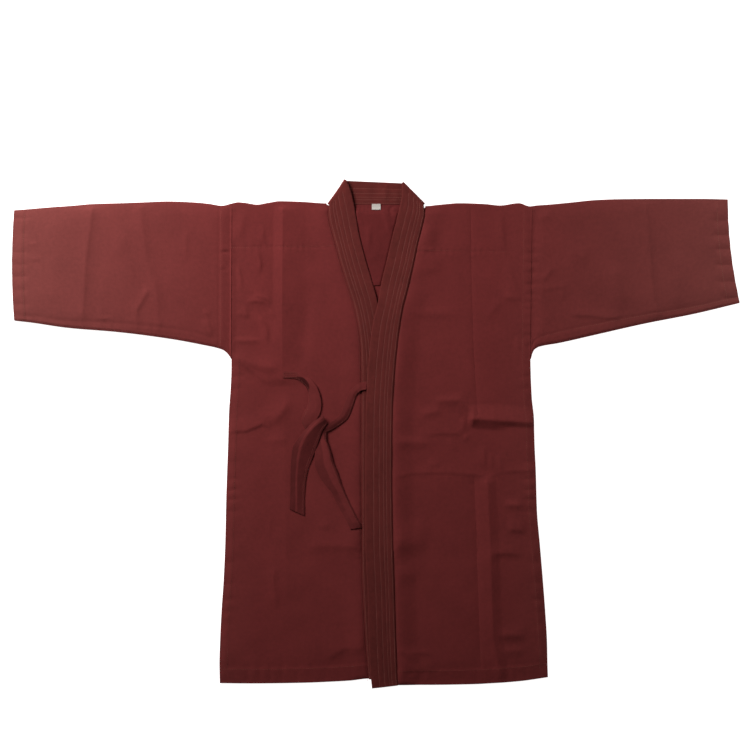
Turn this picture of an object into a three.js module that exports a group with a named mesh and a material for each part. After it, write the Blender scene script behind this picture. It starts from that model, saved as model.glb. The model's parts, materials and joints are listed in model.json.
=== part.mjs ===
import * as THREE from "three";

// A single-layer kendo jacket, laid out flat on its back with its fronts crossed and its chest ties tied.
// Millimetres. +X is the wearer's left, +Y is towards the collar, and +Z is up from the table, at z = 0.
// right and left are the wearer's: the right front lies under the left one.

const clothThick = 1.2; // wall of every single layer of cloth
const seamGap = 0.3; // clear space between pieces that are sewn together or lie on each other
const foldRadius = 1.5; // middle of the wall round the shoulder and sleeve folds
const bodyLength = 836; // shoulder fold to front hem
const neckX = 80; // half the back neck seam
const neckY = 399.5; // seam of the back neck
const shoulderStart = 86; // where the shoulder fold starts, just outside the collar's own fold
const hemTurn = 26; // depth of the turned-up body hem
const cuffTurn = 21; // depth of the turned-in sleeve hem
const hemRise = 0.5; // extra height over a turned hem or a felled seam
const sleeveSeamWide = 21; // felled allowance beside the right armhole seam
const bodySeamWide = 14; // felled allowance beside the left armhole and the side seams
const collarTuck = 6.4; // how far a front's edge runs under the collar
const collarHalfThick = 1.45; // half the padded collar between its stitch rows
const stitchDip = 0.4; // how far a stitch row sinks into the side of the collar that shows
const stitchRows = [14, 23.5, 31.5, 43]; // from the collar's free edge
const collarWide = 46;
const tieThick = 1.6; // a chest tie is cloth folded on itself
const liningThick = 1;
const liningHalfWide = 66; // the lining runs on under both fronts, just past what the neck shows
const liningHemY = 259;
const labelBox = { x1: -8.5, x2: 9.5, y1: 389.5, y2: 401.5 };
const labelThick = 1;
const backHemShort = 2.5; // the back hem ends just inside the front one

const backMid = clothThick / 2; // middle of the back layer, which lies on the table
const frontMid = backMid + 2 * foldRadius; // middle of a front or of a sleeve's upper layer
const underCollarMid = frontMid + clothThick / 2 + seamGap + collarHalfThick;
const overCollarMid = underCollarMid + 2 * collarHalfThick + seamGap;
const collarFoldRadius = (underCollarMid - collarHalfThick) / 2;

// How the fronts settle: each drop or rise, and the strip over which it fades.
const settle = {
  edgeDrop: 1.5, // down to the back at the side seam and the hem
  sideFade: 16,
  armholeY: 140, // above this the side stays up, on the sleeve's level
  armholeFade: 45,
  hemFade: 45,
  shoulderY: 395, // creases keep clear of the shoulder fold, the collar and the seams
  shoulderFade: 25,
  collarFade: 20,
  seamFade: 18,
  lapRise: 3, // the left front climbs over the right one beside the crossed collar
  lapY: 251,
  lapStart: 70,
  lapFade: 34,
  sleeveLoft: 0.6, // a sleeve's upper layer stands off its lower one away from the seams
  sleeveFade: 22,
};

// Shoulder fold and the sleeve's upper fold, from the neck to the cuff.
const topEdge = {
  right: [
    { x: 0, y: 402 }, { x: 80, y: 402 }, { x: 132, y: 405 }, { x: 167, y: 406 }, { x: 188, y: 403 },
    { x: 207, y: 400 }, { x: 228, y: 403 }, { x: 240, y: 404 }, { x: 251, y: 402 }, { x: 268, y: 398 },
    { x: 292, y: 401.5 }, { x: 320, y: 404 }, { x: 362, y: 405.5 },
    { x: 404, y: 404 }, { x: 445, y: 402.5 },
    { x: 494, y: 401 }, { x: 529, y: 398 }, { x: 571, y: 395 }, { x: 612, y: 391.5 }, { x: 634, y: 390 },
  ],
  left: [
    { x: 0, y: 397 }, { x: 80, y: 397 }, { x: 113, y: 400 }, { x: 146, y: 402.5 }, { x: 190, y: 401 },
    { x: 216, y: 398.5 }, { x: 249, y: 402.5 }, { x: 268, y: 397 },
    { x: 280, y: 398.5 }, { x: 301, y: 400 },
    { x: 343, y: 404 }, { x: 384, y: 408 }, { x: 426, y: 409.5 }, { x: 489, y: 410 }, { x: 564, y: 410 },
    { x: 634, y: 408.5 },
  ],
};

// Underside of the sleeve, from the armhole seam to the cuff.
const sleeveUnderEdge = {
  right: [
    { x: 252, y: 131 }, { x: 257.5, y: 139.5 }, { x: 268, y: 147.5 },
    { x: 304, y: 156 }, { x: 362, y: 166.5 },
    { x: 452, y: 178 }, { x: 536, y: 185 }, { x: 602, y: 194.5 }, { x: 634, y: 198 },
  ],
  left: [
    { x: 269.5, y: 131 }, { x: 271.5, y: 139.5 }, { x: 276, y: 147.5 },
    { x: 285, y: 152.5 }, { x: 320, y: 159 },
    { x: 384, y: 173.5 }, { x: 468, y: 192.5 }, { x: 552, y: 209 }, { x: 634, y: 228.5 },
  ],
};

// Armhole seam and side seam, from the hem up. x is the distance from the middle.
const sideEdge = {
  right: [
    { y: -436, x: 272 }, { y: -401, x: 272.7 }, { y: -358, x: 271.5 },
    { y: -306, x: 269 }, { y: -254, x: 265.5 },
    { y: -184, x: 262.5 }, { y: -114, x: 261 }, { y: -10, x: 257.5 },
    { y: 42, x: 256 }, { y: 77, x: 253.5 },
    { y: 108, x: 252 }, { y: 131, x: 251.6 }, { y: 406, x: 250.5 },
  ],
  left: [
    { y: -436, x: 299.5 }, { y: -423, x: 299 }, { y: -375, x: 298 },
    { y: -323, x: 295 }, { y: -262, x: 290.5 },
    { y: -201, x: 285.5 }, { y: -140, x: 280.5 }, { y: -71, x: 278.5 },
    { y: -27, x: 276.5 }, { y: 25, x: 275 },
    { y: 60, x: 271.5 }, { y: 108, x: 269.5 }, { y: 131, x: 269 }, { y: 406, x: 272 },
  ],
};

// The sleeve hem: where its two folded ends lie, and how far its middle bows out past them.
const cuffs = {
  right: { topX: 630, underX: 630, bow: 3.7 },
  left: { topX: 612.5, underX: 633, bow: -5 },
};

const hemEdge = {
  right: [
    { x: -10, y: -425 }, { x: 14, y: -425.5 }, { x: 45, y: -429 }, { x: 80, y: -431 }, { x: 132, y: -433 },
    { x: 219, y: -434 }, { x: 273, y: -433.5 },
  ],
  left: [
    { x: 0, y: -436 }, { x: 94, y: -436.5 }, { x: 164, y: -435.5 },
    { x: 212, y: -433 }, { x: 251, y: -430 },
    { x: 300, y: -423 },
  ],
};

// Collar sections from the shoulder corner down to the hem: its seam with the front, and its free edge.
const collarSections = {
  right: [
    { seamX: -81.8, seamY: neckY, freeX: -51.3, freeY: 441.5 },
    { seamX: -82.7, seamY: 383, freeX: -43.5, freeY: 421.5 },
    { seamX: -80, seamY: 366, freeX: -37.8, freeY: 397 },
    { seamX: -73, seamY: 340.5, freeX: -30.5, freeY: 353 },
    { seamX: -61.8, seamY: 299.5, freeX: -20, freeY: 310 },
    { seamX: -49.6, seamY: 259.5, freeX: -7.8, freeY: 268.5 },
    { seamX: -38.3, seamY: 223, freeX: 2.6, freeY: 232 },
    { seamX: -29.6, seamY: 181.5, freeX: 10.4, freeY: 188.5 },
    { seamX: -26, seamY: 143, freeX: 16.5, freeY: 146.5 },
    { seamX: -25.2, seamY: 94.5, freeX: 20.5, freeY: 94.5 },
    { seamX: -25.2, seamY: -10, freeX: 20.9, freeY: -10 },
    { seamX: -24.4, seamY: -219, freeX: 20.9, freeY: -219 },
    { seamX: -18.5, seamY: -350, freeX: 20.9, freeY: -350 },
    { seamX: -12.5, seamY: -426, freeX: 20.9, freeY: -427.5 },
  ],
  left: [
    { seamX: 83, seamY: neckY, freeX: 45.2, freeY: 437.2 },
    { seamX: 84.5, seamY: 383, freeX: 44.9, freeY: 414.5 },
    { seamX: 80.6, seamY: 362.5, freeX: 38.3, freeY: 383 },
    { seamX: 72.7, seamY: 331, freeX: 28.7, freeY: 345 },
    { seamX: 64.4, seamY: 291.5, freeX: 19, freeY: 303.5 },
    { seamX: 55.7, seamY: 256, freeX: 9.2, freeY: 263 },
    { seamX: 47, seamY: 221.5, freeX: 2.8, freeY: 226 },
    { seamX: 41, seamY: 186.5, freeX: -4.9, freeY: 195 },
    { seamX: 36.5, seamY: 150, freeX: -10.1, freeY: 157 },
    { seamX: 32.2, seamY: 103, freeX: -14.3, freeY: 103 },
    { seamX: 28.9, seamY: 42, freeX: -17.4, freeY: 42 },
    { seamX: 27.8, seamY: -62, freeX: -18.3, freeY: -62 },
    { seamX: 29.6, seamY: -184, freeX: -18.3, freeY: -184 },
    { seamX: 32.2, seamY: -271, freeX: -14.8, freeY: -271 },
    { seamX: 34.8, seamY: -358, freeX: -12.2, freeY: -358 },
    { seamX: 36.5, seamY: -407, freeX: -9.9, freeY: -410 },
    { seamX: 38.3, seamY: -436.5, freeX: -7, freeY: -441.8 },
  ],
};
const collarCross = { start: 270, end: 232 }; // y between which the left collar climbs over the right one

// The largest creases, as soft ridges from one end to the other. x grows towards the wearer's left.
const creases = {
  rightFront: [
    { x1: -163, y1: 395, x2: -165, y2: 95, wide: 11, high: 1.6 },
    { x1: -246, y1: 152, x2: -185, y2: 62, wide: 12, high: 1.8 },
    { x1: -236, y1: 225, x2: -172, y2: 262, wide: 12, high: 2.0 },
    { x1: -236, y1: 118, x2: -170, y2: 28, wide: 14, high: 1.5 },
    { x1: -252, y1: 5, x2: -150, y2: 40, wide: 15, high: 1.6 },
    { x1: -150, y1: 60, x2: -165, y2: -300, wide: 16, high: 1.1 },
    { x1: -130, y1: 30, x2: -45, y2: 10, wide: 14, high: 1.2 },
  ],
  leftFront: [
    { x1: 168, y1: 380, x2: 172, y2: 25, wide: 11, high: 1.4 },
    { x1: 172, y1: 32, x2: 270, y2: 27, wide: 10, high: 3.0 },
    { x1: 60, y1: 20, x2: 165, y2: 16, wide: 13, high: 2.0 },
    { x1: 40, y1: -58, x2: 268, y2: -60, wide: 11, high: 1.5 },
    { x1: 186, y1: -75, x2: 196, y2: -415, wide: 14, high: 1.6 },
    { x1: 262, y1: 128, x2: 222, y2: 60, wide: 12, high: 1.4 },
  ],
  rightSleeve: [
    { x1: -500, y1: 395, x2: -508, y2: 200, wide: 14, high: 1.8 },
    { x1: -404, y1: 395, x2: -385, y2: 190, wide: 17, high: 1.3 },
    { x1: -300, y1: 340, x2: -262, y2: 160, wide: 15, high: 1.2 },
  ],
  leftSleeve: [
    { x1: 478, y1: 400, x2: 492, y2: 205, wide: 14, high: 1.8 },
    { x1: 285, y1: 330, x2: 400, y2: 190, wide: 18, high: 1.2 },
    { x1: 360, y1: 390, x2: 352, y2: 250, wide: 18, high: 1.0 },
  ],
};

// Each tie is a strip of sections: its two edges, a ridge between them, and its height over the right front.
const tieSections = {
  right: [
    { lx: -162, ly: 98, rx: -162, ry: 111, ridge: 0, lift: 0.3 },
    { lx: -139, ly: 96, rx: -139, ry: 109, ridge: 0, lift: 0.6 },
    { lx: -128, ly: 90, rx: -125, ry: 101, ridge: 1.5, lift: 1.5 },
    { lx: -122, ly: 82, rx: -112, ry: 92, ridge: 2, lift: 2.5 },
    { lx: -119, ly: 73, rx: -104, ry: 80, ridge: 1.5, lift: 3 },
    { lx: -118, ly: 62, rx: -97, ry: 68, ridge: 1, lift: 3 },
    { lx: -119, ly: 50, rx: -94, ry: 52, ridge: 1, lift: 2.5 },
    { lx: -126, ly: 37, rx: -97, ry: 37, ridge: 1, lift: 1.8 },
    { lx: -129, ly: 24, rx: -106, ry: 20, ridge: 0.5, lift: 1 },
    { lx: -124, ly: 11, rx: -113, ry: 8, ridge: 0, lift: 0.5 },
    { lx: -112, ly: 2, rx: -112, ry: 17, ridge: 0, lift: 0.4 },
    { lx: -100, ly: 3, rx: -100, ry: 22, ridge: 0, lift: 0.4 },
  ],
  rightTail: [
    { lx: -84, ly: 19, rx: -93, ry: 33, ridge: 0, lift: 5 },
    { lx: -94, ly: 8, rx: -110, ry: 21, ridge: 1.5, lift: 5.2 },
    { lx: -101, ly: -11, rx: -127, ry: 2, ridge: 3, lift: 5 },
    { lx: -108, ly: -29, rx: -139, ry: -12, ridge: 4, lift: 2.5 },
    { lx: -114, ly: -45, rx: -145, ry: -24, ridge: 4, lift: 0.8 },
    { lx: -118, ly: -62, rx: -147.5, ry: -48, ridge: 4, lift: 0.4 },
    { lx: -122, ly: -88, rx: -148.5, ry: -80, ridge: 4, lift: 0.4 },
    { lx: -123.5, ly: -114, rx: -149.6, ry: -111, ridge: 3.5, lift: 0.4 },
    { lx: -123.5, ly: -142, rx: -150, ry: -129, ridge: 3, lift: 0.4 },
  ],
  left: [
    { lx: -16.4, ly: 78, rx: -15.6, ry: 92, ridge: 0, lift: 3.3 },
    { lx: -26.5, ly: 75.5, rx: -28, ry: 88.5, ridge: 0, lift: 3.3 },
    { lx: -34, ly: 69, rx: -42, ry: 79, ridge: 0.5, lift: 1.6 },
    { lx: -38, ly: 57, rx: -50, ry: 64, ridge: 1.5, lift: 1 },
    { lx: -43, ly: 42, rx: -56, ry: 50, ridge: 1.5, lift: 1 },
    { lx: -49, ly: 27, rx: -61, ry: 36, ridge: 1.5, lift: 1.5 },
    { lx: -63, ly: 16, rx: -71, ry: 26, ridge: 1, lift: 2.2 },
    { lx: -78, ly: 8, rx: -83, ry: 19, ridge: 0, lift: 2.6 },
    { lx: -86, ly: 1, rx: -97, ry: 14, ridge: 0, lift: 2.6 },
    { lx: -87, ly: -8, rx: -101, ry: 0, ridge: 0, lift: 2.6 },
    { lx: -83, ly: -20, rx: -104, ry: -16, ridge: 1.5, lift: 2.2 },
    { lx: -79, ly: -33, rx: -105, ry: -31, ridge: 2.5, lift: 1.6 },
    { lx: -74, ly: -48, rx: -107, ry: -49, ridge: 3, lift: 0.6 },
    { lx: -68, ly: -64, rx: -100, ry: -69, ridge: 3, lift: 0.4 },
    { lx: -61, ly: -83, rx: -88, ry: -87, ridge: 2.5, lift: 0.4 },
    { lx: -54, ly: -102, rx: -77, ry: -99, ridge: 2, lift: 0.4 },
    { lx: -47, ly: -118, rx: -68, ry: -115, ridge: 2, lift: 0.4 },
    { lx: -40, ly: -133, rx: -59, ry: -132, ridge: 1.5, lift: 0.4 },
    { lx: -32, ly: -150, rx: -51, ry: -150, ridge: 1.5, lift: 0.4 },
    { lx: -25, ly: -163, rx: -45, ry: -166, ridge: 1, lift: 0.4 },
  ],
};

const maroon = new THREE.MeshStandardMaterial({ color: 0x6b2b2b, roughness: 0.85, metalness: 0 });
const collarBrown = new THREE.MeshStandardMaterial({ color: 0x5a2826, roughness: 0.9, metalness: 0 });
const labelWhite = new THREE.MeshStandardMaterial({ color: 0xece4dc, roughness: 0.7, metalness: 0 });

const lerp = THREE.MathUtils.lerp;
const radians = (degrees) => THREE.MathUtils.degToRad(degrees);
const sign = { right: -1, left: 1 };
const tieNames = { right: "tie_right", rightTail: "tie_right_tail", left: "tie_left" };

function smooth(value) {
  const t = THREE.MathUtils.clamp(value, 0, 1);
  return t * t * (3 - 2 * t);
}

// Column "to" of a table at the given value of column "from", straight between rows in either order.
function lookUp(table, from, to, value) {
  const rising = table[0][from] < table[table.length - 1][from];
  const rows = rising ? table : [...table].reverse();
  if (value <= rows[0][from]) return rows[0][to];
  for (let i = 1; i < rows.length; i++) {
    if (value > rows[i][from]) continue;
    const share = (value - rows[i - 1][from]) / (rows[i][from] - rows[i - 1][from]);
    return lerp(rows[i - 1][to], rows[i][to], share);
  }
  return rows[rows.length - 1][to];
}

// Height that the creases add at a point, each a soft ridge that dies out at both ends.
function creaseHeight(list, x, y) {
  let height = 0;
  for (const crease of list) {
    const dx = crease.x2 - crease.x1;
    const dy = crease.y2 - crease.y1;
    const share = ((x - crease.x1) * dx + (y - crease.y1) * dy) / (dx * dx + dy * dy);
    if (share <= 0 || share >= 1) continue;
    const off = Math.hypot(x - crease.x1 - share * dx, y - crease.y1 - share * dy);
    const ends = 1 - (2 * share - 1) ** 4;
    height += crease.high * ends * Math.exp(-((off / crease.wide) ** 2));
  }
  return height;
}

// Middle height of a front: down at the side seam and hem, and up beside the crossed collar.
function frontHeight(side, x, y) {
  const out = Math.abs(lookUp(sideEdge[side], "y", "x", y)) - x * sign[side];
  const fromCollar = (x - lookUp(collarSections[side], "seamY", "seamX", y)) * sign[side];
  const fromHem = y - lookUp(hemEdge[side], "x", "y", Math.abs(x));
  const belowArm = smooth((settle.armholeY - y) / settle.armholeFade);
  const offSide = 1 - belowArm * (1 - smooth(out / settle.sideFade));
  const clearOfSeams = smooth(fromCollar / settle.collarFade) * smooth(out / settle.seamFade);
  const clearOfShoulder = smooth((settle.shoulderY - y) / settle.shoulderFade);
  const ridges = clearOfSeams * clearOfShoulder * creaseHeight(creases[side + "Front"], x, y);
  const lapped = smooth((settle.lapY - y) / settle.lapStart) * (1 - smooth(fromCollar / settle.lapFade));
  const lap = side === "left" ? lapped : 0;
  const offEdges = offSide * Math.max(smooth(fromHem / settle.hemFade), lap);
  return frontMid - settle.edgeDrop * (1 - offEdges) + ridges + settle.lapRise * lap;
}

// Upward normal of a height function, from its slope over a small step.
function slopeNormal(height, x, y) {
  const step = 0.5;
  const dx = (height(x + step, y) - height(x - step, y)) / (2 * step);
  const dy = (height(x, y + step) - height(x, y - step)) / (2 * step);
  return new THREE.Vector3(-dx, -dy, 1).normalize();
}

// A closed wall on a grid of rows and columns. at(row, column) gives the wall's middle point, its outward
// normal, and how far the outer and inner faces lie from the middle. wrap joins the last column to the first.
function clothWall(rows, columns, at, { wrap = false, keep = () => true } = {}) {
  const positions = [];
  for (const face of ["outer", "inner"])
    for (let row = 0; row < rows; row++)
      for (let column = 0; column < columns; column++) {
        const { point, normal, outer, inner } = at(row, column);
        const moved = point.clone().addScaledVector(normal, face === "outer" ? outer : -inner);
        positions.push(moved.x, moved.y, moved.z);
      }
  const id = (face, row, column) => (face * rows + row) * columns + (column % columns);
  const cells = wrap ? columns : columns - 1;
  const kept = (row, column) => {
    const inGrid = row >= 0 && row < rows - 1 && (wrap || (column >= 0 && column < cells));
    return inGrid && keep(row, (column + cells) % cells);
  };
  const index = [];
  const quad = (a, b, c, d) => index.push(a, b, c, a, c, d);
  for (let row = 0; row < rows - 1; row++)
    for (let column = 0; column < cells; column++) {
      if (!kept(row, column)) continue;
      const corner = (face, down, across) => id(face, row + down, column + across);
      quad(corner(0, 0, 0), corner(0, 0, 1), corner(0, 1, 1), corner(0, 1, 0));
      quad(corner(1, 0, 0), corner(1, 1, 0), corner(1, 1, 1), corner(1, 0, 1));
      if (!kept(row - 1, column)) quad(corner(0, 0, 1), corner(0, 0, 0), corner(1, 0, 0), corner(1, 0, 1));
      if (!kept(row + 1, column)) quad(corner(0, 1, 0), corner(0, 1, 1), corner(1, 1, 1), corner(1, 1, 0));
      if (!kept(row, column - 1)) quad(corner(0, 0, 0), corner(0, 1, 0), corner(1, 1, 0), corner(1, 0, 0));
      if (!kept(row, column + 1)) quad(corner(0, 1, 1), corner(0, 0, 1), corner(1, 0, 1), corner(1, 1, 1));
    }
  return facingOut(positions, index);
}

// The geometry of a closed mesh, with its triangles turned to face outwards.
function facingOut(positions, index) {
  const corner = (i) => new THREE.Vector3().fromArray(positions, 3 * index[i]);
  let volume = 0;
  for (let i = 0; i < index.length; i += 3) volume += corner(i).dot(corner(i + 1).cross(corner(i + 2)));
  if (volume < 0)
    for (let i = 0; i < index.length; i += 3) [index[i + 1], index[i + 2]] = [index[i + 2], index[i + 1]];
  const geometry = new THREE.BufferGeometry();
  geometry.setAttribute("position", new THREE.Float32BufferAttribute(positions, 3));
  geometry.setIndex(index);
  geometry.computeVertexNormals();
  return geometry;
}

function piece(name, geometry, material) {
  const mesh = new THREE.Mesh(geometry, material);
  mesh.name = name;
  return mesh;
}

// Half of the body: one length of cloth from the back hem, over the shoulder fold, to the front hem.
function bodyHalf(side) {
  const backShares = [1, 0.968, 0.75, 0.5, 0.324, 0.15, 0.008];
  const foldTurns = [0, 36, 72, 108, 144, 180].map(radians);
  const frontShares = [
    0.012, 0.045, 0.09, 0.14, 0.19, 0.24, 0.29, 0.324, 0.36, 0.4, 0.43, 0.453, 0.466, 0.478, 0.5, 0.53, 0.555,
    0.57, 0.62, 0.69, 0.76, 0.83, 0.9, 0.94, 0.966, 0.97, 1,
  ];
  const rows = [
    ...backShares.map((share) => ({ layer: "back", share })),
    ...foldTurns.map((turn) => ({ layer: "fold", turn })),
    ...frontShares.map((share) => ({ layer: "front", share })),
  ];
  const neckShares = [0, 0.3, 0.6, 0.85]; // centre back seam to the neck point, back only
  const panelShares = [0, 0.06, 0.16, 0.28, 0.4, 0.52, 0.6, 0.69, 0.8, 0.89, 0.945, 0.95, 1];
  const neckColumns = neckShares.length;
  const columns = neckColumns + panelShares.length;
  const flip = sign[side];
  const foldRow = backShares.length;
  const foldInset = foldRadius + clothThick / 2;

  const sideX = (y) => lookUp(sideEdge[side], "y", "x", y) - seamGap / 2;
  const frontEdgeX = (y) => (lookUp(collarSections[side], "seamY", "seamX", y) * flip) - collarTuck;

  function at(row, column) {
    const { layer, share, turn } = rows[row];
    const inNeck = column < neckColumns;
    const top = topEdge[side][0].y;
    const rowY = layer === "fold" ? top : top - share * bodyLength;
    let x = seamGap / 2 + neckShares[column] * neckX;
    if (!inNeck) {
      const atNeck = { back: neckX, fold: shoulderStart, front: frontEdgeX(rowY) };
      const inner = layer === "back" && share === backShares[foldRow - 1] ? shoulderStart : atNeck[layer];
      x = lerp(inner, sideX(rowY), panelShares[column - neckColumns]);
    }
    const topY = (inNeck ? neckY - seamGap : lookUp(topEdge[side], "x", "y", x)) - (inNeck ? 0 : foldInset);
    const point = new THREE.Vector3(x * flip, topY, backMid);
    const normal = new THREE.Vector3(0, 0, -1);
    let outer = clothThick / 2;
    if (layer === "back") {
      const hem = lookUp(hemEdge[side], "x", "y", x) + backHemShort;
      point.y = lerp(topY, hem, share);
    } else if (layer === "fold") {
      point.y += inNeck ? 0 : foldRadius * Math.sin(turn);
      point.z += foldRadius * (1 - Math.cos(turn));
      normal.set(0, Math.sin(turn), -Math.cos(turn));
    } else {
      const hem = lookUp(hemEdge[side], "x", "y", x);
      point.y = lerp(topY, hem, share);
      const height = (px, py) => frontHeight(side, px, py);
      point.z = height(point.x, point.y);
      normal.copy(slopeNormal(height, point.x, point.y));
      const inHem = point.y - hem < hemTurn;
      const felled = side === "left" || point.y < settle.armholeY;
      const inSeam = felled && sideX(point.y) - x < bodySeamWide;
      outer += inHem || inSeam ? hemRise : 0;
    }
    return { point, normal, outer, inner: clothThick / 2 };
  }
  const keep = (row, column) => column >= neckColumns || row < foldRow - 1;
  return piece("body_" + side, clothWall(rows.length, columns, at, { keep }), maroon);
}

// A sleeve: a flattened tube from the armhole seam to the cuff, folded along the top.
function sleeve(side) {
  const stations = side === "right" ? [0, 0.03, 0.053, 0.057] : [0, 0.02, 0.05, 0.09];
  stations.push(0.14, 0.24, 0.34, 0.44, 0.54, 0.61, 0.66, 0.72, 0.82, 0.94, 0.945, 1);
  const flip = sign[side];
  const cuff = cuffs[side];
  const seamTopX = lookUp(sideEdge[side], "y", "x", 400) + seamGap / 2;
  const seamUnderX = lookUp(sideEdge[side], "y", "x", 131) + seamGap / 2;
  const underWays = [1, 0.5, 0, -0.5, -1]; // from the top fold to the underside, as shares of half the width
  const upperWays = [-1, -0.93, -0.75, -0.5, -0.25, 0, 0.25, 0.5, 0.75, 0.93, 1];
  const foldTurns = [45, 90, 135].map(radians);
  const ring = [
    ...underWays.map((way) => ({ run: "under", way })),
    ...foldTurns.map((turn) => ({ run: "underFold", turn })),
    ...upperWays.map((way) => ({ run: "upper", way })),
    ...foldTurns.map((turn) => ({ run: "topFold", turn: Math.PI - turn })),
  ];
  const list = creases[side + "Sleeve"];

  function at(row, column) {
    const share = stations[row];
    const { run, way, turn } = ring[column];
    const topX = lerp(seamTopX, cuff.topX, share);
    const underX = lerp(seamUnderX, cuff.underX, share);
    const inset = foldRadius + clothThick / 2;
    const topY = lookUp(topEdge[side], "x", "y", topX) - inset;
    const underY = lookUp(sleeveUnderEdge[side], "x", "y", underX) + inset;
    const across = way ?? (run === "topFold" ? 1 : -1);
    const x = lerp(underX, topX, (across + 1) / 2) + cuff.bow * share ** 2 * (1 - across ** 2);
    const y = lerp(underY, topY, (across + 1) / 2);
    const point = new THREE.Vector3(x * flip, y, backMid);
    const normal = new THREE.Vector3(0, 0, -1);
    let outer = clothThick / 2;
    if (turn !== undefined) {
      const outwards = run === "topFold" ? 1 : -1;
      point.y += outwards * foldRadius * Math.sin(turn);
      point.z += foldRadius * (1 - Math.cos(turn));
      normal.set(0, outwards * Math.sin(turn), -Math.cos(turn));
    }
    if (run === "upper") {
      const fromSeam = share * (cuff.topX - seamTopX);
      const fromCuff = (1 - share) * (cuff.topX - seamTopX);
      const height = (px, py) => {
        const clear = smooth((topY - py) / settle.sleeveFade) * smooth((py - underY) / settle.sleeveFade);
        const ends = smooth(fromSeam / settle.sleeveFade) * smooth(fromCuff / settle.sleeveFade);
        const ridges = creaseHeight(list, px, py) * smooth(fromSeam / settle.sleeveFade);
        return frontMid + clear * (settle.sleeveLoft * ends + ridges);
      };
      point.z = height(point.x, point.y);
      normal.copy(slopeNormal(height, point.x, point.y));
      const inSeam = side === "right" && fromSeam < sleeveSeamWide;
      const atFold = Math.abs(across) === 1;
      outer += (inSeam || fromCuff < cuffTurn) && !atFold ? hemRise : 0;
    }
    return { point, normal, outer, inner: clothThick / 2 };
  }
  return piece("sleeve_" + side, clothWall(stations.length, ring.length, at, { wrap: true }), maroon);
}

// Sections of a table of seam and free edges, with extra ones worked out between its rows.
function denser(table, parts) {
  const made = [table[0]];
  for (let i = 1; i < table.length; i++)
    for (let part = 1; part <= parts; part++) {
      const section = {};
      for (const key of Object.keys(table[i])) {
        section[key] = lerp(table[i - 1][key], table[i][key], part / parts);
      }
      made.push(section);
    }
  return made;
}

// The collar: one padded band, up the right front, folded over at each side of the neck, and down the left.
function collar() {
  const nextRow = (i) => stitchRows[i + 1] ?? collarWide;
  const channels = stitchRows.flatMap((row, i) => [row, (row + nextRow(i)) / 2]);
  const columnsFromFree = [0, stitchRows[0] / 2, ...channels, collarWide];
  const foldTurns = [30, 60, 90, 120, 150].map(radians);
  const rows = [];
  const rightDown = denser(collarSections.right, 1);
  const leftDown = denser(collarSections.left, 2);
  const foldSection = { right: rightDown[0], left: leftDown[0] };
  [...rightDown].reverse().forEach((section) => rows.push({ section, z: underCollarMid, up: 1 }));
  foldTurns.forEach((turn) => rows.push({ section: foldSection.right, turn, out: -1 }));
  denser([foldSection.right, foldSection.left], 6).forEach((section) => {
    rows.push({ section, z: collarHalfThick, up: -1 });
  });
  foldTurns.forEach((turn) => rows.push({ section: foldSection.left, turn: Math.PI - turn, out: 1 }));
  leftDown.forEach((section) => {
    const climb = smooth((collarCross.start - section.freeY) / (collarCross.start - collarCross.end));
    rows.push({ section, z: lerp(underCollarMid, overCollarMid, climb), up: 1 });
  });

  function at(row, column) {
    const { section, z, up, turn, out } = rows[row];
    const share = columnsFromFree[column] / collarWide;
    const point = new THREE.Vector3(
      lerp(section.freeX, section.seamX, share),
      lerp(section.freeY, section.seamY, share),
      z,
    );
    const normal = new THREE.Vector3(0, 0, up);
    if (turn !== undefined) {
      const fold = new THREE.Vector3(section.freeX - section.seamX, section.freeY - section.seamY, 0);
      fold.normalize();
      const outwards = new THREE.Vector3(out * fold.y, -out * fold.x, 0);
      const rise = Math.cos(turn);
      point.z = collarHalfThick + collarFoldRadius * (1 + rise);
      point.addScaledVector(outwards, collarFoldRadius * Math.sin(turn));
      normal.copy(outwards.multiplyScalar(Math.sin(turn))).setZ(rise);
    }
    const dip = stitchRows.includes(columnsFromFree[column]) ? stitchDip : 0;
    const outer = collarHalfThick - dip * Math.max(normal.z, 0);
    const inner = collarHalfThick - dip * Math.max(-normal.z, 0);
    return { point, normal, outer, inner };
  }
  return piece("collar", clothWall(rows.length, columnsFromFree.length, at), collarBrown);
}

// A chest tie: a narrow strip sewn down at one end, that lies on the right front.
function tie(name) {
  const sections = denser(tieSections[name], 2);
  const across = [0, 0.5, 1];
  const middle = (row, column) => {
    const s = sections[row];
    const share = across[column];
    const x = lerp(s.lx, s.rx, share);
    const y = lerp(s.ly, s.ry, share);
    const ridge = share === 0.5 ? s.ridge : 0;
    const ground = frontHeight("right", Math.min(x, -26), y) + clothThick / 2;
    return new THREE.Vector3(x, y, ground + seamGap + tieThick / 2 + s.lift + ridge);
  };
  const at = (row, column) => {
    const before = middle(Math.max(row - 1, 0), column);
    const after = middle(Math.min(row + 1, sections.length - 1), column);
    const nearer = middle(row, Math.max(column - 1, 0));
    const farther = middle(row, Math.min(column + 1, 2));
    const normal = after.sub(before).cross(farther.sub(nearer)).normalize();
    if (normal.z < 0) normal.negate();
    return { point: middle(row, column), normal, outer: tieThick / 2, inner: tieThick / 2 };
  };
  return piece(tieNames[name], clothWall(sections.length, across.length, at), maroon);
}

// A flat rectangle of cloth, level at one height.
function flatPatch(name, box, mid, thick, material) {
  const xs = [box.x1, box.x2];
  const ys = [box.y1, box.y2];
  const at = (row, column) => ({
    point: new THREE.Vector3(xs[column], ys[row], mid),
    normal: new THREE.Vector3(0, 0, 1),
    outer: thick / 2,
    inner: thick / 2,
  });
  return piece(name, clothWall(2, 2, at), material);
}

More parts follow.
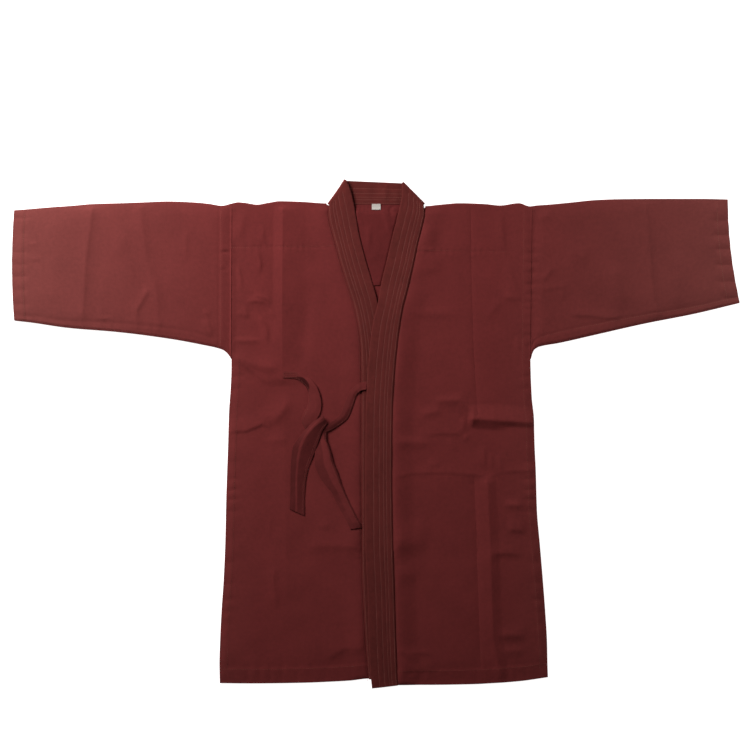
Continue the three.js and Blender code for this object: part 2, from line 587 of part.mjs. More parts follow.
const lining = flatPatch(
  "neck_lining",
  { x1: -liningHalfWide, x2: liningHalfWide, y1: liningHemY, y2: neckY - 2 * seamGap },
  clothThick + seamGap + liningThick / 2,
  liningThick,
  maroon,
);
const labelBottom = 2 * collarHalfThick + seamGap;
const label = flatPatch("size_label", labelBox, labelBottom + labelThick / 2, labelThick, labelWhite);

const jacket = new THREE.Group();
jacket.add(bodyHalf("right"), bodyHalf("left"), sleeve("right"), sleeve("left"));
jacket.add(collar(), lining, label, tie("right"), tie("left"), tie("rightTail"));

export default jacket;
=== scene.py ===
# Kendo jacket laid flat on a pale floor: cloth, seams, stitching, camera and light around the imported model.
import json
import math

import bmesh
import bpy
import numpy as np
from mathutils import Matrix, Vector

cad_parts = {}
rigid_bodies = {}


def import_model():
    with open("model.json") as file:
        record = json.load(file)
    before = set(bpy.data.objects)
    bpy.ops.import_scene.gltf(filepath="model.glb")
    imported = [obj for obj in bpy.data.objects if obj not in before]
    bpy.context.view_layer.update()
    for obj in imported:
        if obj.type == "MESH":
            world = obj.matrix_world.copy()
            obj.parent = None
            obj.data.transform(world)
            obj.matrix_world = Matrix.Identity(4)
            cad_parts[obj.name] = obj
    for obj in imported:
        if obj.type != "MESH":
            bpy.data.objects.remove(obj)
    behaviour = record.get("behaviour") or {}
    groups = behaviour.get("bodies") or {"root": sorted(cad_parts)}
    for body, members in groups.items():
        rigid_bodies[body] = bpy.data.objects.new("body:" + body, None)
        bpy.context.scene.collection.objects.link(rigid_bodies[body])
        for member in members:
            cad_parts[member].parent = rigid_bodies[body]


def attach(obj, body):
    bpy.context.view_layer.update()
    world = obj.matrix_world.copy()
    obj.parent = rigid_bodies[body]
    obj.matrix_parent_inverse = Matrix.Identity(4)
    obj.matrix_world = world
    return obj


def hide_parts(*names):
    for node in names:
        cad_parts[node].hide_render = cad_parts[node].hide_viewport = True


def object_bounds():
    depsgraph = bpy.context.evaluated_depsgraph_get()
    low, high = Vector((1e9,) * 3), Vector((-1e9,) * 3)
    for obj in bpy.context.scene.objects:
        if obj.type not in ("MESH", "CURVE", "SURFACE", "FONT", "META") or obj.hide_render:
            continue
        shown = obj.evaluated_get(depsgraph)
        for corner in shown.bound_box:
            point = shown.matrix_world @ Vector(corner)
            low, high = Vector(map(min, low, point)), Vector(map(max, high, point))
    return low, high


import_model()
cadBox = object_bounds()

mm = 0.001  # every table below is in millimetres; meshes are written in metres
sideSign = {"right": -1, "left": 1}  # the wearer's right is at -X
upwards = np.array([0, 0, 1.0])
scene = bpy.context.scene

# Camera straight above the jacket, with the photo's frame around it.
camera = {"lens": 85, "sensor": 36, "frameWidth": 1305, "x": -1.7, "y": 103.1, "subjectHeight": 5}
cameraData = bpy.data.cameras.new("camera")
cameraData.lens, cameraData.sensor_width = camera["lens"], camera["sensor"]
cameraObject = bpy.data.objects.new("camera", cameraData)
cameraDistance = camera["frameWidth"] * camera["lens"] / camera["sensor"] + camera["subjectHeight"]
cameraObject.location = (camera["x"] * mm, camera["y"] * mm, cameraDistance * mm)
scene.collection.objects.link(cameraObject)
scene.camera = cameraObject
scene.view_settings.view_transform = "Standard"
print("camera ready")

# Sizes that several pieces share.
cloth = {
    "thick": 1.2,
    "gap": 0.3,
    "foldRadius": 1.5,
    "backMid": 0.6,
    "frontMid": 3.6,
    "bodyLength": 836,
    "neckX": 80,
    "neckY": 399.5,
    "shoulderStart": 86,
    "hemTurn": 26,
    "cuffTurn": 21,
    "hemRise": 0.5,
    "sideSeamWide": 14,
    "sleeveSeamWide": 21,
    "collarTuck": 6.4,
    "backHemShort": 2.5,
}

# Outline of each side, x as the distance from the middle: shoulder and sleeve fold, then side seam from
# the hem up.
topEdge = {
    "right": {
        "x": [0, 80, 132, 167, 188, 207, 228, 240, 251, 268,
              292, 320, 362, 404, 445, 494, 529, 571, 612, 634],
        "y": [402, 402, 405, 406, 403, 400, 403, 404, 402, 398,
              401.5, 404, 405.5, 404, 402.5, 401, 398, 395, 391.5, 390],
    },
    "left": {
        "x": [0, 80, 113, 146, 190, 216, 249, 268, 280, 301, 343, 384, 426, 489, 564, 634],
        "y": [397, 397, 400, 402.5, 401, 398.5, 402.5, 397, 398.5, 400, 404, 408, 409.5, 410, 410, 408.5],
    },
}
sideEdge = {
    "right": {
        "y": [-436, -401, -358, -306, -254, -184, -114, -10, 42, 77, 108, 131, 406],
        "x": [272, 272.7, 271.5, 269, 265.5, 262.5, 261, 257.5, 256, 253.5, 252, 251.6, 250.5],
    },
    "left": {
        "y": [-436, -423, -375, -323, -262, -201, -140, -71, -27, 25, 60, 108, 131, 406],
        "x": [299.5, 299, 298, 295, 290.5, 285.5, 280.5, 278.5, 276.5, 275, 271.5, 269.5, 269, 272],
    },
}
hemEdge = {
    "right": {"x": [-10, 14, 45, 80, 132, 219, 273], "y": [-425, -425.5, -429, -431, -433, -434, -433.5]},
    "left": {"x": [0, 94, 164, 212, 251, 300], "y": [-436, -436.5, -435.5, -433, -430, -423]},
}
sleeveUnderEdge = {
    "right": {
        "x": [252, 257.5, 268, 304, 362, 452, 536, 602, 634],
        "y": [131, 139.5, 147.5, 156, 166.5, 178, 185, 194.5, 198],
    },
    "left": {
        "x": [269.5, 271.5, 276, 285, 320, 384, 468, 552, 634],
        "y": [131, 139.5, 147.5, 152.5, 159, 173.5, 192.5, 209, 228.5],
    },
}
cuffs = {
    "right": {"topX": 630, "underX": 630, "bow": 3.7},
    "left": {"topX": 612.5, "underX": 633, "bow": -5},
}

# Collar sections from the neck corner down to the hem: its seam with the front, then its free edge.
collarSections = {
    "right": {
        "seamX": [-81.8, -82.7, -80, -73, -61.8, -49.6, -38.3, -29.6, -26, -25.2, -25.2, -24.4, -18.5, -12.5],
        "seamY": [399.5, 383, 366, 340.5, 299.5, 259.5, 223, 181.5, 143, 94.5, -10, -219, -350, -426],
        "freeX": [-51.3, -43.5, -37.8, -30.5, -20, -7.8, 2.6, 10.4, 16.5, 20.5, 20.9, 20.9, 20.9, 20.9],
        "freeY": [441.5, 421.5, 397, 353, 310, 268.5, 232, 188.5, 146.5, 94.5, -10, -219, -350, -427.5],
    },
    "left": {
        "seamX": [83, 84.5, 80.6, 72.7, 64.4, 55.7, 47, 41, 36.5, 32.2, 28.9, 27.8,
                  29.6, 32.2, 34.8, 36.5, 38.3],
        "seamY": [399.5, 383, 362.5, 331, 291.5, 256, 221.5, 186.5, 150, 103, 42, -62,
                  -184, -271, -358, -407, -436.5],
        "freeX": [45.2, 44.9, 38.3, 28.7, 19, 9.2, 2.8, -4.9, -10.1, -14.3, -17.4, -18.3,
                  -18.3, -14.8, -12.2, -9.9, -7],
        "freeY": [437.2, 414.5, 383, 345, 303.5, 263, 226, 195, 157, 103, 42, -62,
                  -184, -271, -358, -410, -441.8],
    },
}


# Smooth step from 0 to 1: t squared times (3 - 2t). fadeIn rises by it over a width from a start on, and
# fadeOut falls by it over a width to an end.
def ease(t):
    t = np.clip(t, 0, 1)
    return t * t * (3 - 2 * t)


def fadeIn(distance, start, wide):
    return ease((distance - start) / wide)


def fadeOut(distance, end, wide):
    return ease((end - distance) / wide)


# An arch from 0 up to 1 and back: 4t times (1 - t).
def arch(t):
    return 4 * t * (1 - t)


# A table's smooth line at a place: the first column holds the knots and the second the values.
def lineAt(table, at):
    knots, values = table.values()
    return through(knots, values, at)


def collarX(side, y, edge="seam"):
    return through(collarSections[side][edge + "Y"], collarSections[side][edge + "X"], y)


# Smooth line through a table's knots: cubic pieces, each knot's slope the harmonic mean of its two
# chords', or level at a peak.
def through(knots, values, at):
    knots, values = np.asarray(knots, float), np.asarray(values, float)
    if knots[0] > knots[-1]:
        knots, values = knots[::-1], values[::-1]
    chord = np.diff(values) / np.diff(knots)
    product = chord[:-1] * chord[1:]
    mean = 2 * product / np.where(product > 0, chord[:-1] + chord[1:], 1)
    slope = np.concatenate([chord[:1], np.where(product > 0, mean, 0), chord[-1:]])
    at = np.clip(at, knots[0], knots[-1])
    i = np.clip(np.searchsorted(knots, at) - 1, 0, len(knots) - 2)
    span = knots[i + 1] - knots[i]
    t = (at - knots[i]) / span
    start = values[i] * (1 + 2 * t) * (1 - t) ** 2 + slope[i] * span * t * (1 - t) ** 2
    end = values[i + 1] * t * t * (3 - 2 * t) + slope[i + 1] * span * t * t * (t - 1)
    return start + end


# Length along a line of points, from its start.
def lengthAlong(points):
    return np.concatenate([[0], np.cumsum(np.linalg.norm(np.diff(points, axis=0), axis=1))])


# A bell: e to the minus square of the distance in widths. A dip along stitches is one of a given depth.
def bell(distance, wide):
    return np.exp(-((distance / wide) ** 2))


def dip(distance, size):
    depth, wide = size
    return depth * bell(distance, wide)


# Uneven height from -1 to 1: seeded values on a square lattice, eased from corner to corner.
def uneven(x, y, cell, seed):
    size = 97
    lattice = np.random.default_rng(seed).uniform(-1, 1, (size, size))
    u, v = np.asarray(x, float) / cell + 10 * size, np.asarray(y, float) / cell + 10 * size
    i, j = np.floor(u).astype(int), np.floor(v).astype(int)
    s, t = ease(u - i), ease(v - j)
    i, j, iNext, jNext = i % size, j % size, (i + 1) % size, (j + 1) % size
    low = lattice[i, j] * (1 - s) + lattice[iNext, j] * s
    high = lattice[i, jNext] * (1 - s) + lattice[iNext, jNext] * s
    return low * (1 - t) + high * t


# Three sizes of unevenness on each other, the coarse one strongest.
def softHills(x, y, cells, seed):
    coarse, medium, fine = cells
    hills = uneven(x, y, coarse, seed) + 0.5 * uneven(x, y, medium, seed + 1)
    return hills + 0.22 * uneven(x, y, fine, seed + 2)


creaseEnds = {"foot": 0.15, "fade": 30, "straightFade": 14, "mostShare": 0.4}


# Share of a crease's height at a distance of so many widths: e to the minus distance to a power, where
# power 1 is a sharp crest and 2 a soft roll. Power 0 stands for a straight slope down to a rounded foot.
def profile(far, power):
    slope, foot = np.clip(1 - far, 0, 1), creaseEnds["foot"]
    return slope * slope * (1 + foot) / (slope + foot) if power == 0 else np.exp(-(far ** power))


# Sum of creases. Each runs from (x1, y1) to (x2, y2), bowed sideways, and falls away to its left and right.
# Its ends fade out.
def creaseHeight(creases, x, y):
    total = np.zeros(np.shape(x))
    for x1, y1, x2, y2, bow, leftWide, rightWide, power, high in creases:
        length = math.hypot(x2 - x1, y2 - y1)
        ux, uy = (x2 - x1) / length, (y2 - y1) / length
        along = (x - x1) * ux + (y - y1) * uy
        share = np.clip(along / length, 0, 1)
        rightward = (x - x1) * uy - (y - y1) * ux - bow * arch(share)
        far = np.hypot(rightward, along - share * length) / np.where(rightward > 0, rightWide, leftWide)
        fade = min(creaseEnds["fade" if power else "straightFade"], length * creaseEnds["mostShare"])
        total += high * ease(np.minimum(along, length - along) / fade) * profile(far, power)
    return total


# Sum of long folds. Each follows a line of points (x, y, height there) and falls away to its left and
# right.
def foldHeight(folds, x, y):
    total = np.zeros(np.shape(x))
    for points, leftWide, rightWide, power in folds:
        nearest = np.full(np.shape(x), 1e9)
        far, high = nearest.copy(), np.zeros(np.shape(x))
        for (x1, y1, high1), (x2, y2, high2) in zip(points, points[1:]):
            length = math.hypot(x2 - x1, y2 - y1)
            ux, uy = (x2 - x1) / length, (y2 - y1) / length
            share = np.clip(((x - x1) * ux + (y - y1) * uy) / length, 0, 1)
            distance = np.hypot(x - x1 - share * (x2 - x1), y - y1 - share * (y2 - y1))
            wide = np.where((x - x1) * uy - (y - y1) * ux > 0, rightWide, leftWide)
            closer = distance < nearest
            nearest = np.where(closer, distance, nearest)
            far = np.where(closer, distance / wide, far)
            high = np.where(closer, high1 + (high2 - high1) * share, high)
        total += high * profile(far, power)
    return total


gathers = {"drift": 2.2, "driftCell": 2.3, "weakest": 0.4, "strengthCell": 2.9, "level": 0.6}


# Small gathers along a seam: rounded humps with sharp valleys, uneven in pitch and strength, that die
# away with the distance from the stitches.
def puckers(along, away, reach, high, pitch, seed):
    drift = gathers["drift"] * uneven(along, along * 0, gathers["driftCell"] * pitch, seed)
    humps = np.abs(np.sin(math.pi * along / pitch + drift)) - gathers["level"]
    strong = ease(0.5 + uneven(along, along * 0, gathers["strengthCell"] * pitch, seed + 1))
    return high * humps * (gathers["weakest"] + (1 - gathers["weakest"]) * strong) * bell(away, reach)


# Positions from a to b in steps of about one size, with three close ones at each end that round the edge.
def spaced(a, b, step):
    inner = np.linspace(a, b, max(2, round(abs(b - a) / step) + 1))
    edge = np.sign(b - a) * np.array([0, 0.12, 0.35, 0.7])
    return np.concatenate([a + edge, inner[1:-1], (b - edge)[::-1]])


# Share of the full thickness near an edge: from a quarter of it up along a quarter circle.
def rounding(fromEdge, radius=0.7):
    thinnest = 0.25
    t = np.clip(fromEdge / radius, 0, 1)
    return thinnest + (1 - thinnest) * np.sqrt(1 - (1 - t) ** 2)


# Outward direction of a grid surface: the cross product of its two directions, turned so that a part
# faces up.
def gridNormals(points, part=...):
    down, across = np.gradient(points, axis=0), np.gradient(points, axis=1)
    normal = np.cross(down, across)
    normal = normal / np.maximum(np.linalg.norm(normal, axis=2, keepdims=True), 1e-9)
    return normal * np.sign(np.mean(normal[part][..., 2]))


# The two faces of a wall: half its thickness to each side of its middle, and further out by a rise.
def layers(middle, normal, half, rise=0):
    return middle + normal * (half + rise)[..., None], middle - normal * half[..., None]


# A closed wall: an outer and an inner grid, joined by a rim wherever a kept cell has no kept neighbour.
def wallMesh(name, outer, inner, uv, kept=None, paintedShadeTone=None):
    rows, columns = outer.shape[:2]
    kept = np.ones((rows - 1, columns - 1), bool) if kept is None else kept
    ids = np.arange(rows * columns).reshape(rows, columns)
    a, b, c, d = ids[:-1, :-1], ids[:-1, 1:], ids[1:, 1:], ids[1:, :-1]
    other = rows * columns
    padded = np.pad(kept, 1)
    lonely = [
        (kept & ~padded[:-2, 1:-1], b, a),
        (kept & ~padded[2:, 1:-1], d, c),
        (kept & ~padded[1:-1, :-2], a, d),
        (kept & ~padded[1:-1, 2:], c, b),
    ]
    quads = [np.stack([a, b, c, d], 2)[kept], np.stack([a, d, c, b], 2)[kept] + other]
    quads += [np.stack([p, q, q + other, p + other], 2)[alone] for alone, p, q in lonely]
    quads = np.concatenate(quads)
    points = np.concatenate([outer.reshape(-1, 3), inner.reshape(-1, 3)])
    uvs = np.concatenate([uv.reshape(-1, 2)] * 2)
    used, quads = np.unique(quads, return_inverse=True)
    made = meshObject(name, points[used], quads.reshape(-1, 4), uvs[used])
    # The optional tone is painted shade, kept as a point attribute.
    if paintedShadeTone is not None:
        values = np.concatenate([paintedShadeTone.ravel()] * 2)[used].astype(np.float32)
        made.data.attributes.new("paintedShadeTone", "FLOAT", "POINT").data.foreach_set("value", values)
    return made


# An object in metres from points in millimetres, faces of one size and a UV for each point, turned to
# face outwards.
def meshObject(name, points, faces, uvs=None):
    corners = points[faces]
    volume = np.einsum("ij,ij->", corners[:, 0], np.cross(corners[:, 1], corners[:, 2]))
    if faces.shape[1] == 4:
        volume += np.einsum("ij,ij->", corners[:, 0], np.cross(corners[:, 2], corners[:, 3]))
    faces = faces[:, ::-1] if volume < 0 else faces
    mesh = bpy.data.meshes.new(name)
    mesh.vertices.add(len(points))
    mesh.vertices.foreach_set("co", (points * mm).astype(np.float32).ravel())
    size = faces.shape[1]
    mesh.loops.add(faces.size)
    mesh.loops.foreach_set("vertex_index", faces.astype(np.int32).ravel())
    mesh.polygons.add(len(faces))
    mesh.polygons.foreach_set("loop_start", np.arange(0, faces.size, size, dtype=np.int32))
    mesh.polygons.foreach_set("loop_total", np.full(len(faces), size, np.int32))
    mesh.update(calc_edges=True)
    mesh.polygons.foreach_set("use_smooth", np.ones(len(faces), bool))
    if uvs is not None:
        layer = mesh.uv_layers.new(name="cloth")
        layer.data.foreach_set("uv", (uvs[faces.ravel()] * mm).astype(np.float32).ravel())
    mesh.validate()
    made = bpy.data.objects.new(name, mesh)
    scene.collection.objects.link(made)
    return made


# Rides on the jacket's one body, takes the material it is given, and stands for CAD nodes.
def dress(piece, material, slot, *nodes):
    piece.data.materials.append(material)
    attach(piece, "root")
    if nodes:
        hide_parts(*nodes)
    return piece


# Gives a node's inputs their numbers, colours or other nodes' outputs.
def fill(tree, node, inputs):
    for key, value in inputs.items():
        if isinstance(value, bpy.types.NodeSocket):
            tree.links.new(value, node.inputs[key])
        else:
            node.inputs[key].default_value = value


def addNode(tree, kind, inputs=None, **settings):
    node = tree.nodes.new("ShaderNode" + kind)
    for key, value in settings.items():
        setattr(node, key, value)
    fill(tree, node, inputs or {})
    return node


def newMaterial(name):
    material = bpy.data.materials.new(name)
    material.use_nodes = True
    return material, material.node_tree


# Node group: a plain weave. Threads cross at right angles on the cloth's own UV, each with slubs along it.
def weaveGroup():
    group = bpy.data.node_groups.new("plainWeave", "ShaderNodeTree")
    face = group.interface
    face.new_socket("Vector", in_out="INPUT", socket_type="NodeSocketVector")
    for socketName, value in (("Thread", 0.0008), ("Slub", 0.5), ("Blotch", 0.5)):
        face.new_socket(socketName, in_out="INPUT", socket_type="NodeSocketFloat").default_value = value
    for socketName in ("Height", "Shade"):
        face.new_socket(socketName, in_out="OUTPUT", socket_type="NodeSocketFloat")
    given, result = group.nodes.new("NodeGroupInput").outputs, group.nodes.new("NodeGroupOutput")

    def maths(operation, *values):
        return addNode(group, "Math", dict(enumerate(values)), operation=operation).outputs[0]

    def noise(scaleX, scaleY, detail):
        stretch = {0: given["Vector"], 1: (scaleX, scaleY, scaleX)}
        stretched = addNode(group, "VectorMath", stretch, operation="MULTIPLY").outputs[0]
        return addNode(group, "TexNoise", {"Vector": stretched, "Scale": 1, "Detail": detail}).outputs["Fac"]

    split = addNode(group, "SeparateXYZ", {0: given["Vector"]}).outputs
    turns = maths("DIVIDE", math.pi, given["Thread"])
    warp, weft = (maths("SINE", maths("MULTIPLY", split[axis], turns)) for axis in "XY")
    crossing = maths("ADD", maths("MULTIPLY", maths("MULTIPLY", warp, weft), 0.5), 0.5)
    slubs = maths("SUBTRACT", maths("ADD", noise(900, 45, 2), noise(45, 900, 2)), 1)
    slubs = maths("MULTIPLY", slubs, given["Slub"])
    blotches = maths("SUBTRACT", maths("ADD", noise(18, 18, 4), noise(160, 160, 2)), 1)
    blotches = maths("MULTIPLY", blotches, given["Blotch"])
    height = maths("ADD", maths("MULTIPLY", crossing, 0.6), slubs)
    fill(group, result, {"Height": height, "Shade": maths("ADD", slubs, blotches)})
    return group


plainWeave = weaveGroup()


# The dye's colour at a point, by the distance from the jacket's middle: paler and a little brighter towards
# the cuffs, partly the sleeves' paler cloth and partly painted light for the stronger light on the cuffs.
def cuffPaleAndLitColor(tree, color, look):
    place = addNode(tree, "TexCoord")
    split = addNode(tree, "SeparateXYZ", {0: place.outputs["Object"]})
    distance = addNode(tree, "Math", {0: split.outputs["X"]}, operation="ABSOLUTE")
    near, far = (v * mm for v in look["cuffPaleAndLitX"])
    share = addNode(tree, "MapRange", {"Value": distance.outputs[0], "From Min": near, "From Max": far})
    cuffPaleAndLit = [c * f for c, f in zip(color, look["cuffPaleAndLit"])]
    mixed = {"Factor": share.outputs[0], "A": color, "B": cuffPaleAndLit}
    return addNode(tree, "Mix", mixed, data_type="VECTOR").outputs["Result"]


# Dyed cotton: a base colour that slubs and blotches lighten or darken, a soft sheen, and the weave as bump.
# A look with a dark colour for painted shade mixes it in where the piece's painted shade tone is low.
def clothMaterial(name, color, look):
    material, tree = newMaterial(name)
    weave = addNode(tree, "Group", node_tree=plainWeave)
    fill(tree, weave, {
        "Vector": addNode(tree, "UVMap", uv_map="cloth").outputs[0],
        "Thread": look["thread"] * mm,
        "Slub": look["slub"],
        "Blotch": look["blotch"],
    })
    bright = addNode(tree, "MapRange", {
        "Value": weave.outputs["Shade"],
        "From Min": -1,
        "From Max": 1,
        "To Min": 1 - look["variation"],
        "To Max": 1 + look["variation"],
    })
    dye = cuffPaleAndLitColor(tree, color, look)
    # Painted shade: the look's dark colour mixed in where the tone is low.
    if "paintedShadeColor" in look:
        paintedShadeTone = addNode(tree, "Attribute", attribute_name="paintedShadeTone").outputs["Fac"]
        mixed = {"Factor": paintedShadeTone, "A": look["paintedShadeColor"], "B": dye}
        dye = addNode(tree, "Mix", mixed, data_type="VECTOR").outputs["Result"]
    tint = addNode(tree, "VectorMath", {0: dye, "Scale": bright.outputs[0]}, operation="SCALE")
    bump = addNode(tree, "Bump", {
        "Strength": look["bump"],
        "Distance": look["thread"] * mm * look["relief"],
        "Height": weave.outputs["Height"],
    })
    fill(tree, tree.nodes["Principled BSDF"], {
        "Base Color": tint.outputs[0],
        "Normal": bump.outputs[0],
        "Roughness": look["roughness"],
        "Specular IOR Level": look["gloss"],
        "Sheen Weight": look["sheen"],
        "Sheen Roughness": look["sheenRoughness"],
        "Sheen Tint": look["sheenTint"],
    })
    return material


# Finishes: thread is the weave's pitch, variation how far slubs and blotches change the dye's brightness,
# relief the bump's height in threads, and the cuff factors what the dye is multiplied by between the two cuff
# distances: partly paler cloth, partly painted light on the cuffs.
clothLook = {
    "thread": 0.8,
    "slub": 0.5,
    "blotch": 1.2,
    "variation": 0.22,
    "bump": 0.5,
    "relief": 0.3,
    "roughness": 0.9,
    "gloss": 0.25,
    "sheen": 0.04,
    "sheenRoughness": 0.4,
    "sheenTint": (0.9, 0.6, 0.55, 1),
    "cuffPaleAndLitX": (200, 640),
    "cuffPaleAndLit": (1.02, 1.68, 1.53),
}
collarLook = {**clothLook, "slub": 0.9, "variation": 0.38}
threadLook = {**clothLook, "thread": 0.3, "bump": 0.2}
labelLook = {**clothLook, "thread": 0.25, "variation": 0.05, "blotch": 0.2}
bodyCloth = clothMaterial("maroonCotton", (0.235, 0.0315, 0.0305), clothLook)
collarCloth = clothMaterial("collarCotton", (0.170, 0.0255, 0.0215), collarLook)
# The ties' cotton carries a dark colour that is mixed in as painted shade.
tieCloth = clothMaterial("tieCotton", (0.225, 0.031, 0.030), {**clothLook, "paintedShadeColor": (0.035, 0, 0)})
threadCloth = clothMaterial("stitchThread", (0.31, 0.075, 0.06), threadLook)
collarThread = clothMaterial("collarThread", (0.46, 0.16, 0.13), threadLook)
# The lining's cotton is a darker copy of the body's: painted shade, for the shade inside the collar's V.
liningPaintedShadeCloth = clothMaterial("liningCottonPaintedShade", (0.185, 0.022, 0.022), clothLook)
labelCloth = clothMaterial("labelTape", (0.8, 0.74, 0.68), labelLook)
print("materials ready")

# Creases of the two fronts: x1, y1, x2, y2, bow, left width, right width, power, height.
frontCreases = {
    "right": [
        (-155, -290, -160, 60, 0, 22, 26, 1.2, 1.1),
        (-138, 100, -110, 270, 0, 24, 14, 1.8, -1.2),
        (-196, 327, -196, 370, 0, 10, 3, 1.2, 0.9),
        (-204, 276, -213, 326, 7, 8, 3.2, 1.5, 1.4),
        (-232, 248, -242, 300, 1, 5, 2.8, 1.5, 1.2),
        (-242, 330, -226, 398, 0, 16, 8, 1.6, 1.3),
        (-219, 241, -176, 226, -5, 4, 2.8, 1.5, 1.4),
        (-230, 229, -183, 225, -5, 5, 3.2, 1.5, 1.6),
        (-242, 216, -221, 201, 0, 5, 3.2, 1.5, 1.3),
        (-233, 225, -221, 202, 0, 4, 3, 1.5, 0.8),
        (-191, 150, -219, 216, 13, 10, 3.8, 1.5, 1.7),
        (-186, 219, -174, 202, 0, 4, 3, 1.5, 0.9),
        (-258, 164, -192, 163, 0, 4, 6, 1.6, 1.6),
        (-256, 145, -160, 116, 10, 12, 9, 1.6, 2.2),
        (-254, 143, -176, 83, 3, 5, 3.5, 1.5, 1.1),
        (-190, 12, -146, 68, 3, 20, 10, 1.6, 2.5),
        (-190, -8, -150, -12, 0, 10, 8, 1.6, 0.9),
        (-184, -184, -185, -140, 0, 8, 4, 1.4, 0.6),
        (-169, -307, -177, -222, -5, 12, 7, 1.5, 1.4),
        (-128, -193, -18, -195, 0, 24, 11, 1.4, 1.7),
        (-98, -166, -78, -152, 0, 6, 6, 2, 0.5),
        (-92, -396, -36, -366, -4, 30, 8, 1.6, 1.7),
        (-52, -378, -8, -366, 0, 20, 9, 1.6, 1.6),
    ],
    "left": [
        (224, 305, 216, 394, 0, 14, 5, 1.5, 1.3),
        (249, 236, 226, 304, 0, 14, 5, 1.5, 1.3),
        (218, 240.5, 256, 235.5, 0, 8, 5, 1.6, 1.4),
        (190, 202, 222, 236, 0, 8, 6, 1.6, 0.8),
        (50, 212, 150, 208, 0, 10, 8, 2, 0.9),
        (252, 142, 243, 172, 0, 5, 4, 1.5, 1.2),
        (262, 139, 257, 168, 0, 4, 3, 1.5, 0.9),
        (92, 322, 94, 370, 0, 16, 12, 1.8, 1.6),
        (100, 272, 103, 318, 0, 20, 14, 1.8, 1.7),
        (66, 321, 106, 320, 0, 4, 3, 1.5, 0.9),
        (74, 33, 120, 42.5, 0, 8, 7, 1.6, 1.5),
        (80, 0, 166, 2, 0, 20, 3, 1.4, 1.1),
        (150, 32, 152, 2, 0, 7, 4, 1.5, 1.2),
        (156, 2, 157, -13, 0, 5, 4, 1.5, 1.0),
        (122, -5, 142, -33, 0, 4, 4, 1.5, 0.7),
        (24, -12, 104, -16, 0, 10, 10, 1.6, 1.8),
        (88, -50, 112, -54, 0, 8, 6, 1.6, 0.7),
        (188, -66, 188, -16, 0, 8, 5, 1.5, 0.9),
        (201, -66, 200, -28, 0, 4, 4, 1.5, 0.7),
        (217, -66, 213, -32, 0, 5, 5, 1.5, 0.8),
        (220, -122, 260, -124, 0, 8, 7, 1.6, 2.0),
        (224, -163, 264, -168, 0, 22, 6, 1.6, 2.0),
        (190, -211, 262, -213, -6, 20, 6, 1.6, 1.9),
        (204, -349, 268, -350, 0, 14, 9, 1.6, 2.0),
        (210, -377, 266, -377, 0, 8, 9, 1.6, 1.2),
        (16, -186, 96, -190, 0, 30, 18, 1.8, 2.7),
        (24, -243, 80, -243, 0, 18, 14, 1.8, 1.4),
        (52, -378, 104, -382, 0, 8, 5, 1.5, 0.9),
        (24, -409, 116, -409, 0, 16, 4, 1.5, 1.3),
        (28, -368, 82, -397, 0, 9, 6, 1.6, 1.0),
        (46, -430, 44, -409, 0, 5, 4, 1.5, 0.7),
        (66, -430, 70, -411, 0, 6, 4, 1.5, 0.7),
        (92, -429, 88, -411, 0, 6, 4, 1.5, 0.6),
    ],
}
# The long ones as lines of points, each with its height: then left width, right width, power.
frontFolds = {
    "right": [
        ([(-163, 84, 0), (-163, 96, 2.4), (-163, 170, 2.9), (-163, 235, 0)], 44, 42, 0),
        ([(-163, 170, 0), (-163, 235, 3.2), (-162, 400, 3.2), (-162, 414, 2.6)], 17, 42, 0),
        ([(-264, 5, 0.8), (-228, 6, 1.5), (-210, 13, 1.7), (-198, 18, 1.5), (-182, 10, 0)], 26, 4.5, 0),
    ],
    "left": [
        ([(176, 30, 0), (177, 36, -1), (170, 140, -0.9), (166, 270, -0.7), (165, 390, -0.7), (165, 402, 0)],
         4, 4.5, 1),
        ([(160, 27.5, 0), (169, 27, 5.6), (205, 24.8, 6), (236, 22.6, 0)], 28, 18, 0),
        ([(207, 24.6, 0), (236, 22.6, 4.4), (262, 20.8, 3.6), (284, 19, 2.6)], 28, 10, 0),
        ([(98, 57, 0), (112, 58.5, 1.9), (146, 59.6, 2.2), (160, 42, 2.2), (168, 27, 2)], 8, 8, 1.6),
        ([(26, -77, 0), (36, -74, 0.6), (59, -69, 0.6), (94, -66.6, 0.8), (137, -67.4, 0.6), (164, -70, 0.6),
          (198, -74.4, 0.5), (211, -69, 0.5), (222, -65.4, 0.5), (240, -64, 0.8), (262, -63.6, 0.8),
          (278, -63, 0.4)],
         8, 2, 1.2),
        ([(219, -432, 2.6), (204, -356, 2.9), (199, -200, 3.2), (194, -84, 3), (190, -72, 0)], 21, 17, 0),
        ([(184, -430, 0), (182, -375, -1), (176, -200, -1.2), (171, -84, -1.2), (171, -70, 0)], 12, 4, 1.2),
    ],
}
# Where a vertical crease runs from the hem to the shoulder: a column of the mesh follows it.
creaseColumn = {
    "right": {"y": [-436, -290, 60, 95, 402], "x": [155, 155, 160, 163, 162]},
    "left": {"y": [-436, -375, -200, -80, 36, 140, 270, 402], "x": [184, 182, 176, 171, 177, 170, 166, 165]},
}
